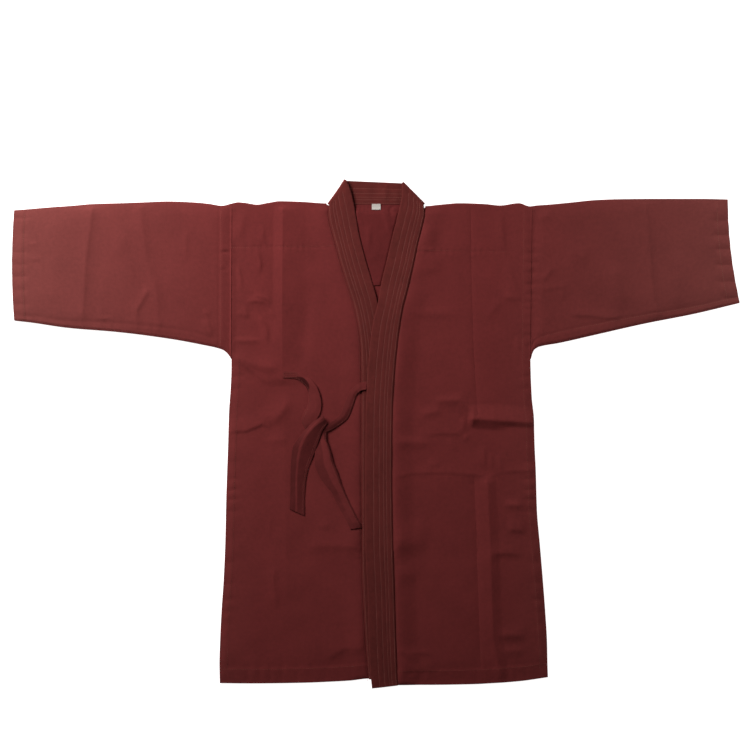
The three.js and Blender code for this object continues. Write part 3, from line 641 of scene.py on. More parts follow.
# How high the armhole seam stands at places up it, how far that reaches into the front and the sleeve,
# and its gathers: their reach, height and pitch, as in all the tables below. The seam fades in over a
# height from its start.
armholes = {
    "right": {
        "y": [131, 165, 205, 250, 300, 350, 390, 403],
        "high": [1.9, 1.9, 1.1, 1.3, 1.6, 1.0, 0.8, 0.2],
        "frontWide": 8,
        "sleeveWide": 2.8,
        "gather": (9, 0.45, 19),
    },
    "left": {
        "y": [131, 165, 205, 250, 300, 350, 390, 403],
        "high": [0.7, 0.4, 0.5, 0.4, 0.5, 0.9, 1.1, 0.2],
        "frontWide": 3.5,
        "sleeveWide": 5,
        "gather": (12, 1.1, 18),
    },
}
armholeStart = (128, 10)
frontShape = {
    "edgeDrop": 1.5,
    "sideFade": 16,
    "armholeY": 140,
    "armholeFade": 45,
    "hemFade": 45,
    "lapRise": 2.9,
    "lapY": 264,
    "lapStart": 40,
    "lapFade": 42,
    "besideBand": 2.0,  # how far the cloth puffs up beside the collar's seam, and over what widths
    "besideBandWide": 5.5,
    "besideBandFade": 34,
    "loft": 0.45,  # height of the slight unevenness that all the cloth has, and the sizes of its hills
    "hills": (62, 27, 12),
    # Where creases fade in from the collar, shoulder fold, side seam and hem, and over what width.
    "collarClear": (-2, 14),
    "topClear": (3, 14),
    "sideClear": (-1, 8),
    "hemClear": (0, 20),
    "inHem": 0.35,
    "sideGather": (8, 0.8, 30),
    "hemGather": (10, 0.6, 24),
    "collarGather": (7, 0.3, 17),
    "liningGather": (7, 0.45, 12),
    "liningDip": (0.5, 1.5),  # depth and width of the dip along stitches
    "liningHem": {"right": (326, 262), "left": (318, 228)},  # y of its stitches, and how far out they run
}


# How high the armhole seam stands at y, with its gathers, at a distance from it.
def armholeHeight(side, y, away, part):
    seam = armholes[side]
    stand = through(seam["y"], seam["high"], y) * profile(away / seam[part + "Wide"], 0)
    return fadeIn(y, *armholeStart) * (stand + puckers(y, away, *seam["gather"], 25))


# Distance of a point on a front from its side seam, collar seam, hem and shoulder fold.
def frontDistances(side, x, y):
    fromSide = lineAt(sideEdge[side], y) - x * sideSign[side]
    fromCollar = (x - collarX(side, y)) * sideSign[side]
    fromHem = y - lineAt(hemEdge[side], np.abs(x))
    fromTop = lineAt(topEdge[side], np.abs(x)) - y
    return fromSide, fromCollar, fromHem, fromTop


# Middle height of a front: level, down to the back at the side and hem, up over the other front beside the
# crossed collar, plus its creases, gathers at the seams and a slight unevenness.
def frontHeight(side, x, y):
    shape = frontShape
    fromSide, fromCollar, fromHem, fromTop = frontDistances(side, x, y)
    belowArm = fadeOut(y, shape["armholeY"], shape["armholeFade"])
    offSide = 1 - belowArm * (1 - ease(fromSide / shape["sideFade"]))
    lap = fadeOut(y, shape["lapY"], shape["lapStart"]) * (1 - ease(fromCollar / shape["lapFade"]))
    lap = lap if side == "left" else 0 * lap
    offEdges = offSide * np.maximum(ease(fromHem / shape["hemFade"]), lap)
    height = cloth["frontMid"] - shape["edgeDrop"] * (1 - offEdges) + shape["lapRise"] * lap
    clear = fadeIn(fromCollar, *shape["collarClear"]) * fadeIn(fromTop, *shape["topClear"])
    clear = clear * (shape["inHem"] + (1 - shape["inHem"]) * fadeIn(fromHem, *shape["hemClear"]))
    clear = clear * fadeIn(fromSide, *shape["sideClear"])
    creases = creaseHeight(frontCreases[side], x, y) + foldHeight(frontFolds[side], x, y)
    height = height + clear * (creases + shape["loft"] * (softHills(x, y, shape["hills"], 11) + 0.6))
    away = np.clip((fromCollar + 1) / shape["besideBandWide"], 0, 1)
    puff = shape["besideBand"] * (0.85 + 0.35 * uneven(y, y * 0, 38, 17)) * (1 - (1 - away) ** 2)
    puff = puff * (1 - fadeIn(fromCollar, 8, shape["besideBandFade"]))
    height = height + puff * fadeIn(fromTop, 3, 12) * fadeIn(fromHem, 0, 6)
    onSeam = np.maximum(fromSide - cloth["sideSeamWide"], 0)
    gather = puckers(y, onSeam, *shape["sideGather"], 21) * belowArm * fadeIn(fromSide, 0, 6)
    onHem = np.maximum(fromHem - cloth["hemTurn"], 0)
    gather = gather + puckers(x, onHem, *shape["hemGather"], 31) * fadeIn(fromHem, 0, 6)
    gather = gather + puckers(y, fromCollar - 3, *shape["collarGather"], 41)
    liningY, liningX = shape["liningHem"][side]
    stitched = puckers(x, y - liningY, *shape["liningGather"], 45) - dip(y - liningY, shape["liningDip"])
    gather = (gather + stitched * fadeOut(abs(x), liningX, 4)) * fadeIn(fromCollar, -3, 6)
    return height + (gather + armholeHeight(side, y, fromSide, "front")) * fadeIn(fromTop, 3, 8)


# How much thicker a front is at its turned hem and along its felled side seam.
def frontRise(side, x, y):
    fromSide, _, fromHem, _ = frontDistances(side, x, y)
    belowArm = fadeOut(y, frontShape["armholeY"], 10)
    inHem = 1 - fadeIn(fromHem, cloth["hemTurn"] - 1, 2.5)
    inSeam = 1 - fadeIn(fromSide, cloth["sideSeamWide"] - 1, 2.5)
    inSeam = inSeam * np.maximum(fadeIn(fromSide, 0, 5), belowArm)
    return cloth["hemRise"] * np.maximum(inHem, inSeam * (1 if side == "left" else belowArm))


# Half of the body: rows run from the back hem up the back, round the shoulder fold and down the front.
# Columns run from the middle to the side and lie closest together at the long crease.
def bodyHalf(side):
    flip, fold, length = sideSign[side], cloth["foldRadius"], cloth["bodyLength"]
    top = topEdge[side]["y"][0]
    backShare = 1 - spaced(0, length * bodyMesh["backShare"], bodyMesh["backStep"]) / length
    frontShare = 1 - spaced(0, length * bodyMesh["frontShare"], bodyMesh["step"])[::-1] / length
    turn = np.linspace(0, math.pi, bodyMesh["foldRows"])
    neckShare = np.linspace(0, bodyMesh["neckShare"], bodyMesh["neckColumns"])
    toCrease = 1 - (1 - np.linspace(0, 1, bodyMesh["creaseColumns"])) ** bodyMesh["creasePower"]
    fromCrease = spaced(0, 100, bodyMesh["sideStep"]) / 100
    curved = bodyMesh["sideCurved"]
    fromCrease = ((1 - curved) * fromCrease + curved * fromCrease ** bodyMesh["sidePower"])[1:]
    neckColumns, foldRow = len(neckShare), len(backShare)
    foldRows, frontRows = slice(foldRow, foldRow + len(turn)), slice(foldRow + len(turn), None)
    rowY = np.concatenate([top - backShare * length, np.full(len(turn), top), top - frontShare * length])
    outerX = lineAt(sideEdge[side], rowY) - cloth["gap"] / 2
    seamX = collarX(side, np.minimum(rowY, 396)) * flip
    innerX = np.concatenate([
        np.full(foldRow - 1, cloth["neckX"]),
        np.full(len(turn) + 1, cloth["shoulderStart"]),
        (seamX - cloth["collarTuck"])[frontRows],
    ])
    crease = lineAt(creaseColumn[side], rowY)[:, None]
    x = np.concatenate([
        np.repeat(cloth["gap"] / 2 + neckShare[None] * cloth["neckX"], len(rowY), 0),
        innerX[:, None] + (crease - innerX[:, None]) * toCrease,
        crease + (outerX[:, None] - crease) * fromCrease,
    ], 1)
    topY = lineAt(topEdge[side], x) - fold - cloth["thick"] / 2
    topY[:, :neckColumns] = cloth["neckY"] - cloth["gap"]
    isBack = (np.arange(len(rowY)) < foldRow)[:, None]
    hem = lineAt(hemEdge[side], x) + isBack * cloth["backHemShort"]
    share = np.concatenate([backShare, np.zeros(len(turn)), frontShare])[:, None]
    y = topY + (hem - topY) * share
    z = np.full(x.shape, cloth["backMid"])
    y[foldRows, neckColumns:] += fold * np.sin(turn)[:, None]
    z[foldRows] += fold * (1 - np.cos(turn))[:, None]
    x = x * flip
    z[frontRows] = frontHeight(side, x[frontRows], y[frontRows])
    middle = np.stack([x, y, z], 2)
    normal = gridNormals(middle, frontRows)
    normal[:foldRow] = (0, 0, -1)
    fromSide = np.abs(outerX[:, None]) - np.abs(x) + 9 * fadeIn(y, 120, 12)
    half = cloth["thick"] / 2 * rounding(np.minimum(fromSide, np.abs(y - hem)))
    rise = np.zeros(x.shape)
    rise[frontRows] = frontRise(side, x[frontRows], y[frontRows])
    kept = np.ones((len(rowY) - 1, x.shape[1] - 1), bool)
    kept[foldRow - 1:, :neckColumns] = False
    along = lengthAlong(middle[:, neckColumns + bodyMesh["uvColumn"]])
    uv = np.stack([x, np.repeat(along[:, None], x.shape[1], 1)], 2)
    return wallMesh("body" + side.capitalize(), *layers(middle, normal, half, rise), uv, kept)


bodyMesh = {
    "step": 2.6,
    "backStep": 16,
    "backShare": 0.992,  # the first row lies at this share of the length, so that the rim is round
    "frontShare": 0.994,
    "foldRows": 11,
    "neckColumns": 8,
    "neckShare": 0.94,
    "creaseColumns": 62,
    "creasePower": 1.35,
    "sideStep": 1.9,
    "sidePower": 1.6,
    "sideCurved": 0.55,
    "uvColumn": 30,
}
for side in ("right", "left"):
    dress(bodyHalf(side), bodyCloth, "cloth", "body_" + side)
print("body ready")

# Seam allowances: narrow strips inside the jacket, under the armhole seams and the centre back seam.
allowance = {
    "wide": 10,
    "thick": 0.5,
    "armholeMid": 2.5,
    "centreWide": 13,
    "centreSpread": 11,  # the strip opens out and stands higher below the collar's V
    "centreMid": 1.47,
    "centreRise": 2.3,
    "step": 4,
}


def strip(name, x, y, z, wide):
    across = np.linspace(-0.5, 0.5, 5)[None] * (wide + 0 * y)[:, None]
    points = np.stack([x[:, None] + across, y[:, None] + 0 * across, z + 0 * x[:, None] + 0 * across], 2)
    half = np.full(across.shape, allowance["thick"] / 2)
    return wallMesh(name, *layers(points, upwards, half), points[..., :2])


for side in ("right", "left"):
    y = spaced(144, 396, allowance["step"])
    x = lineAt(sideEdge[side], y) * sideSign[side]
    name = "armholeAllowance" + side.capitalize()
    piece = dress(strip(name, x, y, allowance["armholeMid"], allowance["wide"]), bodyCloth, "cloth")
y = spaced(-420, 272, allowance["step"])
z = allowance["centreMid"] + allowance["centreRise"] * ease((y - 215) / 20)[:, None]
wide = allowance["centreWide"] + allowance["centreSpread"] * ease((y - 205) / 20)
piece = dress(strip("centreAllowance", 0 * y, y, z, wide), bodyCloth, "cloth")

# Creases of the sleeves, in the same columns as those of the fronts.
sleeveCreases = {
    "right": [
        (-494, 201, -454, 201, 0, 5, 2.5, 1.3, 0.8),
        (-477, 200, -477, 230, 0, 5, 4, 1.5, 0.6),
        (-399, 244, -426, 297, 0, 5, 6, 1.5, -0.8),
        (-332, 294, -329, 364, 0, 12, 6, 1.5, 1.0),
        (-274, 317, -252, 317.5, 0, 3, 2, 1.3, -1.0),
        (-274, 322, -250, 322, 0, 4, 3, 1.5, 0.8),
        (-274, 286, -254, 286, 0, 3, 2.5, 1.4, -0.7),
        (-282, 168, -299, 206, 0, 8, 4, 1.5, 1.5),
        (-287, 169, -262, 155, 0, 4, 3, 1.4, 1.0),
        (-304, 212, -286, 208, 0, 6, 4, 1.5, 0.8),
        (-560, 214, -556, 384, 0, 24, 20, 1.8, 1.0),
        (-606, 330, -584, 331, 0, 4, 3, 1.5, 0.7),
        (-606, 306, -578, 305, 0, 4, 4, 1.5, 0.7),
        (-452, 300, -436, 360, 0, 16, 14, 1.8, 0.8),
    ],
    "left": [
        (527, 212, 524, 326, 0, 22, 16, 1.6, 2.0),
        (581, 230, 578, 290, 0, 14, 6, 1.6, 1.0),
        (427, 212, 411, 304, 0, 16, 20, 1.5, 2.6),
        (326, 318, 376, 308, 0, 14, 20, 1.6, 1.6),
        (323, 228, 325, 270, 0, 10, 6, 1.5, 1.0),
        (446, 296, 440, 372, 0, 18, 14, 1.8, 0.9),
        (284, 370, 306, 388, 0, 8, 10, 1.6, 1.3),
        (286, 262, 312, 296, 0, 6, 5, 1.5, 1.0),
        (280, 250, 330, 258, 0, 8, 5, 1.6, 0.8),
        (555, 330, 610, 322, 0, 10, 10, 1.8, 0.7),
    ],
}
sleeveFolds = {
    "right": [
        ([(-512, 192, 0.6), (-510, 210, 2.4), (-504.6, 300, 2.5), (-494, 387, 2.6), (-493, 402, 1.6)],
         26, 9, 1),
        ([(-378, 192, 0.8), (-380, 230, 1.7), (-384, 262, 1.8), (-398, 300, 1.3), (-403, 330, 1.6),
          (-409, 385, 1.7), (-411, 402, 0.8)],
         16, 9, 1.4),
        ([(-418, 178, 0.6), (-416, 216, 1.4), (-399, 246, 1.6), (-396, 254, 0)], 9, 4, 1.3),
    ],
    "left": [
        ([(492, 202, 1.4), (489, 216, 3.2), (480, 260, 3.6), (475, 329, 3.2), (470, 390, 2.2), (469, 406, 1)],
         30, 7.5, 1),
        ([(336, 209, 0), (352, 208, 1.5), (380, 206, 1.5), (400, 203.5, 1.6), (418, 204, 1.3), (428, 211, 0)],
         12, 4, 1.3),
    ],
}
sleeveShape = {
    "loft": 0.6,
    "unevenness": 0.4,
    "hills": (58, 24, 11),
    "fade": 22,
    "topRoll": 1.5,
    "topRollWide": 6,
    "cuffGather": {"right": (7, 0.9, 23), "left": (7, 2.4, 27)},
    "underGather": (9, 0.4, 19),
    "cuffDip": (0.6, 2.4),
    "seamDip": (0.6, 2.2),
    "underDip": {"right": (0.4, 3.5), "left": (0.5, 3.5)},
}
# How far the underarm seam's stitches lie from the fold, at places along the left sleeve.
underSeam = {"x": [270, 290, 330, 400, 470, 560, 634], "from": [13, 15.5, 19, 17, 14.5, 12, 11]}


# Where a sleeve's cuff ends, as a distance from the middle, at a share of the way up from its underside.
def cuffAt(side, share):
    cuff = cuffs[side]
    return cuff["underX"] + (cuff["topX"] - cuff["underX"]) * share + cuff["bow"] * arch(share)


# Distances on a sleeve's upper layer from its armhole seam, cuff, top fold and underside.
def sleeveDistances(side, x, y):
    wide = np.abs(x)
    fromSeam = wide - lineAt(sideEdge[side], y) - cloth["gap"] / 2
    fromCuff = cuffAt(side, np.clip((y - 200) / 200, 0, 1)) - wide
    return fromSeam, fromCuff, lineAt(topEdge[side], wide) - y, y - lineAt(sleeveUnderEdge[side], wide)


# Middle height of a sleeve's upper layer: a loft between its folds, creases, dips along its stitches, and
# gathers at its hems and at the armhole.
def sleeveHeight(side, x, y):
    fromSeam, fromCuff, fromTop, fromUnder = sleeveDistances(side, x, y)
    fade, shape = sleeveShape["fade"], sleeveShape
    clear = fadeIn(fromTop, 3, fade) * fadeIn(fromUnder, 3, fade)
    ends = ease(fromSeam / fade) * ease(fromCuff / fade)
    creases = creaseHeight(sleeveCreases[side], x, y) + foldHeight(sleeveFolds[side], x, y)
    creases = creases * fadeIn(fromSeam, 0, 6) * fadeIn(fromTop, 2, 9) * fadeIn(fromUnder, 2, 9)
    hills = shape["unevenness"] * (softHills(x, y, shape["hills"], 14) + 0.6)
    height = creases + clear * (shape["loft"] * ends + hills * fadeIn(fromSeam, 0, 8))
    roll = 1 - np.exp(-np.maximum(fromTop - 2, 0) / shape["topRollWide"])
    toStitches = fromUnder - lineAt(underSeam, np.abs(x))
    height = height + shape["topRoll"] * roll * ends - dip(toStitches, shape["underDip"][side])
    height = height - dip(fromCuff - cloth["cuffTurn"], shape["cuffDip"])
    if side == "right":
        height = height - dip(fromSeam - cloth["sleeveSeamWide"], shape["seamDip"])
    onCuff = np.maximum(fromCuff - cloth["cuffTurn"], 0)
    gather = puckers(y, onCuff, *shape["cuffGather"][side], 51)
    gather = gather + puckers(x, toStitches, *shape["underGather"], 71)
    gather = gather + armholeHeight(side, y, fromSeam, "sleeve")
    return cloth["frontMid"] + height + gather * fadeIn(fromTop, 3, 8) * fadeIn(fromUnder, 3, 8)


# How much thicker a sleeve is at its turned cuff and over its felled seam.
def sleeveRise(side, x, y):
    fromSeam, fromCuff, fromTop, fromUnder = sleeveDistances(side, x, y)
    inCuff = 1 - fadeIn(fromCuff, cloth["cuffTurn"] - 1, 2.5)
    if side == "right":
        felled = 1 - fadeIn(fromSeam, cloth["sleeveSeamWide"] - 1, 2.5)
    else:
        felled = (1 - fadeIn(fromUnder - lineAt(underSeam, np.abs(x)), -1, 2.5)) * fadeIn(fromUnder, 2, 3)
    return cloth["hemRise"] * np.maximum(inCuff, felled) * fadeIn(fromTop, 2, 4)


# A sleeve: a flattened tube. Columns go once round it, from the lower layer's middle, round the underside,
# over the upper layer, round the top fold and back.
def sleeve(side):
    flip, fold, cuff = sideSign[side], cloth["foldRadius"], cuffs[side]
    inset = fold + cloth["thick"] / 2
    share = spaced(0, sleeveMesh["length"], sleeveMesh["step"]) / sleeveMesh["length"]
    turn = np.linspace(0, math.pi, sleeveMesh["foldColumns"])
    lower = np.linspace(0, -1, sleeveMesh["lowerColumns"])[:-1]
    upper = np.linspace(-1, 1, round(sleeveMesh["girth"] / sleeveMesh["step"]))[1:-1]
    firstUpper = len(lower) + len(turn)
    isUpper = (slice(None), slice(firstUpper, firstUpper + len(upper)))
    across = np.concatenate([lower, 0 * turn - 1, upper, 0 * turn + 1, -lower[::-1]])[None]
    turning = np.concatenate([0 * lower, turn, 0 * upper, turn[::-1], 0 * lower])
    seamTop, seamUnder = (lineAt(sideEdge[side], y) + cloth["gap"] / 2 for y in (400, 131))
    topX = seamTop + (cuff["topX"] - seamTop) * share
    underX = seamUnder + (cuff["underX"] - seamUnder) * share
    topY = lineAt(topEdge[side], topX) - inset
    underY = lineAt(sleeveUnderEdge[side], underX) + inset
    way = (across + 1) / 2
    bow = cuff["bow"] * share[:, None] ** 2 * (1 - across ** 2)
    x = (underX[:, None] + (topX - underX)[:, None] * way + bow) * flip
    y = underY[:, None] + (topY - underY)[:, None] * way + fold * np.sin(turning) * np.sign(across)
    z = cloth["backMid"] + fold * (1 - np.cos(turning)) + 0 * x
    z[isUpper] = sleeveHeight(side, x[isUpper], y[isUpper])
    middle = np.stack([x, y, z], 2)
    half = cloth["thick"] / 2 * rounding((1 - share) * sleeveMesh["length"])[:, None] * np.ones(x.shape)
    rise = np.zeros(x.shape)
    rise[isUpper] = sleeveRise(side, x[isUpper], y[isUpper])
    girth = lengthAlong(middle[sleeveMesh["uvRow"]])
    uv = np.stack([x, np.repeat(girth[None], len(share), 0)], 2)
    faces = layers(middle, gridNormals(middle, isUpper), half, rise)
    return closeRing(wallMesh("sleeve" + side.capitalize(), *faces, uv))


# Merges the first and last columns of a tube, which lie on each other, and drops the walls between them.
def closeRing(piece):
    mesh = bmesh.new()
    mesh.from_mesh(piece.data)
    bmesh.ops.remove_doubles(mesh, verts=mesh.verts, dist=0.00001)
    twice = [f for f in mesh.faces if any(all(len(f.edges[i].link_faces) > 2 for i in pair)
                                          for pair in ((1, 3), (0, 2)))]
    bmesh.ops.delete(mesh, geom=twice, context="FACES")
    mesh.to_mesh(piece.data)
    mesh.free()
    return piece


sleeveMesh = {"length": 380, "girth": 250, "step": 2.2, "foldColumns": 9, "lowerColumns": 9, "uvRow": 60}
for side in ("right", "left"):
    piece = dress(sleeve(side), bodyCloth, "cloth", "sleeve_" + side)
print("sleeves ready")


# Height of the top face of a front or of a sleeve at a point.
def frontTop(side, x, y):
    return frontHeight(side, x, y) + cloth["thick"] / 2 + frontRise(side, x, y)


def sleeveTop(side, x, y):
    return sleeveHeight(side, x, y) + cloth["thick"] / 2 + sleeveRise(side, x, y)


# The collar: a padded band with rows of stitches, folded over at each side of the neck.
band = {
    "wide": 46,
    "halfThick": 1.3,
    "stitchRows": [14, 23.5, 31, 36, 43],  # from the free edge
    "dip": 0.2,
    "dipWide": 1.0,
    "wander": 0.25,
    "puff": 0.1,
    "seamTaper": 3,  # the band thins and sinks towards its seam over this width
    "seamThin": 0.35,
    "seamSink": 0.4,
    "crossStart": 270,
    "crossEnd": 232,
    "neckStand": 1.9,  # how far the right side's free edge stands up beside its fold
    "neckStandLength": 24,
    "neckStandWide": 24,
    "neckStandLeft": (0.25, 30),
    "edgeRound": 1.2,
    "underShare": 0.6,  # the stitch rows' depth on the side that lies down
    "neckRows": 48,
    "columnStep": 2.1,
    "besideRow": 1.1,
    "uvColumn": 9,
    "leastStep": 0.8,
    "step": 3,
}
# Creases of the band behind the neck.
neckCreases = [
    (15, 396, 19, 446, 0, 8, 7, 1.3, 1.8),
    (37, 398, 36, 430, 0, 5, 4, 1.5, 1.0),
    (-12, 398, -14, 442, 0, 9, 7, 1.8, 0.7),
    (-34, 398, -36, 440, 0, 7, 6, 1.8, 0.6),
]


# Sections along one side of the collar, from the neck fold down to the hem, on the table's smooth lines.
def bandSections(side):
    table = {key: np.asarray(values, float) for key, values in collarSections[side].items()}
    middle = np.stack([table["seamX"] + table["freeX"], table["seamY"] + table["freeY"]], 1) / 2
    along = lengthAlong(middle)
    at = spaced(0, along[-1], band["step"])
    at = np.concatenate([[0], at[4:]])
    return np.stack([through(along, table[key], at) for key in ("seamX", "seamY", "freeX", "freeY")], 1), at


def collar():
    half = band["halfThick"]
    underMid = cloth["frontMid"] + cloth["thick"] / 2 + cloth["gap"] + half
    overMid = underMid + 2 * half + cloth["gap"]
    (right, rightAt), (left, leftAt) = bandSections("right"), bandSections("left")
    turn = np.linspace(0, math.pi, 11)[1:-1]
    neckShare = np.linspace(0, 1, band["neckRows"])
    neck = right[0] * (1 - neckShare[:, None]) + left[0] * neckShare[:, None]
    fold, onRight, onNeck, onLeft = 0 * turn, 0 * rightAt, 0 * neckShare, 0 * leftAt
    folds = [np.repeat(section[:1], len(turn), 0) for section in (right, left)]
    sections = np.concatenate([right[::-1], folds[0], neck, folds[1], left])
    ends = np.cumsum([len(right), len(turn), len(neck), len(turn), len(left)])
    middleY = (left[:, 1] + left[:, 3]) / 2
    climb = ease((band["crossStart"] - middleY) / (band["crossStart"] - band["crossEnd"]))
    topZ = underMid + (overMid - underMid) * np.concatenate([onRight, fold, onNeck, fold, climb])
    turning = np.concatenate([onRight, turn, onNeck + math.pi, turn[::-1], onLeft])[:, None]
    out = np.concatenate([onRight, fold - 1, onNeck, fold + 1, onLeft])
    neckWay = np.concatenate([onRight, fold, neckShare, fold, onLeft])[:, None]
    rowsAt = np.array(band["stitchRows"], float)
    columns = [spaced(0, band["wide"], band["columnStep"])]
    columns += [rowsAt + shift for shift in (0, -band["besideRow"], band["besideRow"])]
    across = np.unique(np.concatenate(columns).round(3))
    share = across[None] / band["wide"]
    x = sections[:, 2:3] * (1 - share) + sections[:, 0:1] * share
    y = sections[:, 3:4] * (1 - share) + sections[:, 1:2] * share
    steps = np.hypot(np.diff(x[:, band["uvColumn"]]), np.diff(y[:, band["uvColumn"]]))
    along = np.concatenate([[0], np.cumsum(np.maximum(steps, band["leastStep"]))])[:, None]
    stand = np.concatenate([
        bell(rightAt[::-1], band["neckStandLength"]),
        fold + 1,
        1 - ease(neckShare * 9),
        fold,
        dip(leftAt, band["neckStandLeft"]),
    ])
    lift = band["neckStand"] * stand[:, None] * (1 - ease(across / band["neckStandWide"]))[None]
    soft = uneven(along, across[None] * 1.5, 34, 81) + 0.6 * uneven(along, across[None] * 2, 13, 82)
    level = topZ[:, None] + lift + 0.15 * soft * (turning == 0)
    radius = (level - half) / 2
    foldUp = np.cos(turning)
    direction = sections[:, 2:] - sections[:, :2]
    direction = direction / np.linalg.norm(direction, axis=1, keepdims=True)
    outward = np.stack([out * direction[:, 1], -out * direction[:, 0]], 1)
    x = x + outward[:, :1] * radius * np.sin(turning)
    y = y + outward[:, 1:] * radius * np.sin(turning)
    atSeam = (1 - ease((band["wide"] - across) / band["seamTaper"]))[None] * np.maximum(foldUp, 0)
    creases = (turning > 3.1) * np.sin(math.pi * neckWay) * np.maximum(creaseHeight(neckCreases, x, y), 0)
    z = half + radius * (1 + foldUp) - band["seamSink"] * atSeam + creases
    middle = np.stack([x, y, z], 2)
    normal = np.zeros(middle.shape)
    normal[..., 2] = foldUp
    normal[..., :2] = (outward * np.sin(turning))[:, None]
    wander = band["wander"] * uneven(along + 40 * rowsAt, rowsAt[None] * 9, 60, 83)
    toRow = across[None, :, None] - rowsAt[None, None] - wander[:, None]
    groove = bell(toRow, band["dipWide"]).max(2) * (0.9 + 0.1 * np.sin(along / 1.35))
    puff = band["puff"] * (0.6 + uneven(along, across[None] * 3, 9, 84)) * (1 - groove)
    edge = rounding(np.minimum(across, band["wide"] - across), band["edgeRound"])[None]
    edge = edge * (1 - band["seamThin"] * atSeam)
    groove = band["dip"] * groove
    outer = middle + normal * ((half - groove + puff) * edge)[..., None]
    inner = middle - normal * ((half - band["underShare"] * groove) * edge)[..., None]
    uv = np.stack([across[None] + 0 * x, along + 0 * x], 2)
    columns = [int(np.argmin(abs(across - row))) for row in rowsAt]
    shown = [outer[:ends[0] - 2], inner[ends[1] + 1:ends[2] - 1], outer[ends[3] + 2:]]
    return wallMesh("collarBand", outer, inner, uv), [face[:, column] for face in shown for column in columns]


collarPiece, collarSeams = collar()
dress(collarPiece, collarCloth, "collar_cloth", "collar")
print("collar ready")

# Shoulder lining behind the neck opening, and the blank label on the band above it.
lining = {
    "halfWide": 66,
    "hemY": 259,
    "topY": 399.5,
    "mid": 2.0,
    "thick": 1.0,
    "step": 2,
    "lift": 1.5,
    "liftX": (58, 14),  # the lift ends at that distance from the middle, over that width
    "liftY": (398, 16),
    "inside": 1.4,
    "shapeX": (44, 14),
    "loft": 0.35,
    "gather": (12, 0.5, 11),
    "underCollar": 0.2,
    "hemTurn": 9,
    "hemRise": 0.3,
}
liningCreases = [
    (-12, 314, -12, 370, 0, 7, 5, 1.8, 1.1),
    (8, 396, 24, 346, -3, 9, 4, 1.7, 1.6),
    (39, 402, 21, 390, 0, 2.5, 2.5, 1.5, -1.8),
    (21, 394, 29, 379, 0, 2.5, 2.5, 1.5, -1.6),
    (27, 400, 34, 386, 0, 3, 3, 1.6, 1.3),
    (-34, 372, -30, 399, 0, 5, 5, 1.6, 0.6),
    (-20, 300, 14, 330, 4, 9, 9, 2.0, 0.5),
]


def neckLining():
    wide, low, high = lining["halfWide"], lining["hemY"], lining["topY"]
    x, y = np.meshgrid(spaced(-wide, wide, lining["step"]), spaced(low, high, lining["step"]))
    inside = fadeOut(abs(x), *lining["shapeX"]) * fadeOut(y, high + 2, 5) * fadeIn(y, low, 8)
    right, left = (collarX(side, y, "free") for side in sideSign)
    inOpening = fadeIn(x - right, -1, 3) * fadeIn(left - x, -1, 3)
    lift = lining["lift"] * fadeOut(abs(x), *lining["liftX"]) + lining["inside"] * inOpening
    lift = lift * fadeOut(y, *lining["liftY"])
    soft = uneven(x, y, 30, 91) + 0.5 * uneven(x, y, 12, 92)
    shape = creaseHeight(liningCreases, x, y) + lining["loft"] * (soft + 0.8)
    shape = shape + puckers(x, high - y, *lining["gather"], 93)
    shape = shape * (lining["underCollar"] + (1 - lining["underCollar"]) * inOpening)
    middle = np.stack([x, y, lining["mid"] + lift + inside * np.maximum(shape, -0.2 - lift)], 2)
    fromEdge = np.minimum(wide - abs(x), np.minimum(y - low, high - y))
    rise = lining["hemRise"] * (1 - fadeIn(y, low + lining["hemTurn"], 2))
    faces = layers(middle, gridNormals(middle), lining["thick"] / 2 * rounding(fromEdge), rise)
    return wallMesh("neckLining", *faces, np.stack([x, y], 2))


liningPiece = dress(neckLining(), liningPaintedShadeCloth, "cloth", "neck_lining")
label = {
    "x": 0.5,
    "wide": 15.4,
    "y1": 390.4,
    "y2": 400.9,
    "mid": 3.7,
    "thick": 0.8,
    "stepX": 0.8,
    "stepY": 0.6,
    "rise": 1.1,  # towards its free end, which is also a little higher at its left
    "riseY": (397, 8),
    "tilt": 0.25,
}


def sizeLabel():
    reach, low, high = label["wide"] / 2, label["y1"], label["y2"]
    x, y = np.meshgrid(spaced(-reach, reach, label["stepX"]), spaced(low, high, label["stepY"]))
    rise = label["rise"] + label["tilt"] * (x / label["wide"] + 0.5)
    z = label["mid"] + fadeOut(y, *label["riseY"]) * rise
    fromEdge = np.minimum(reach - abs(x), np.minimum(y - low, high - y))
    faces = layers(np.stack([x + label["x"], y, z], 2), upwards, label["thick"] / 2 * rounding(fromEdge, 0.4))
    return wallMesh("sizeLabel", *faces, np.stack([x, y], 2))


labelPiece = dress(sizeLabel(), labelCloth, "label", "size_label")
print("lining and label ready")
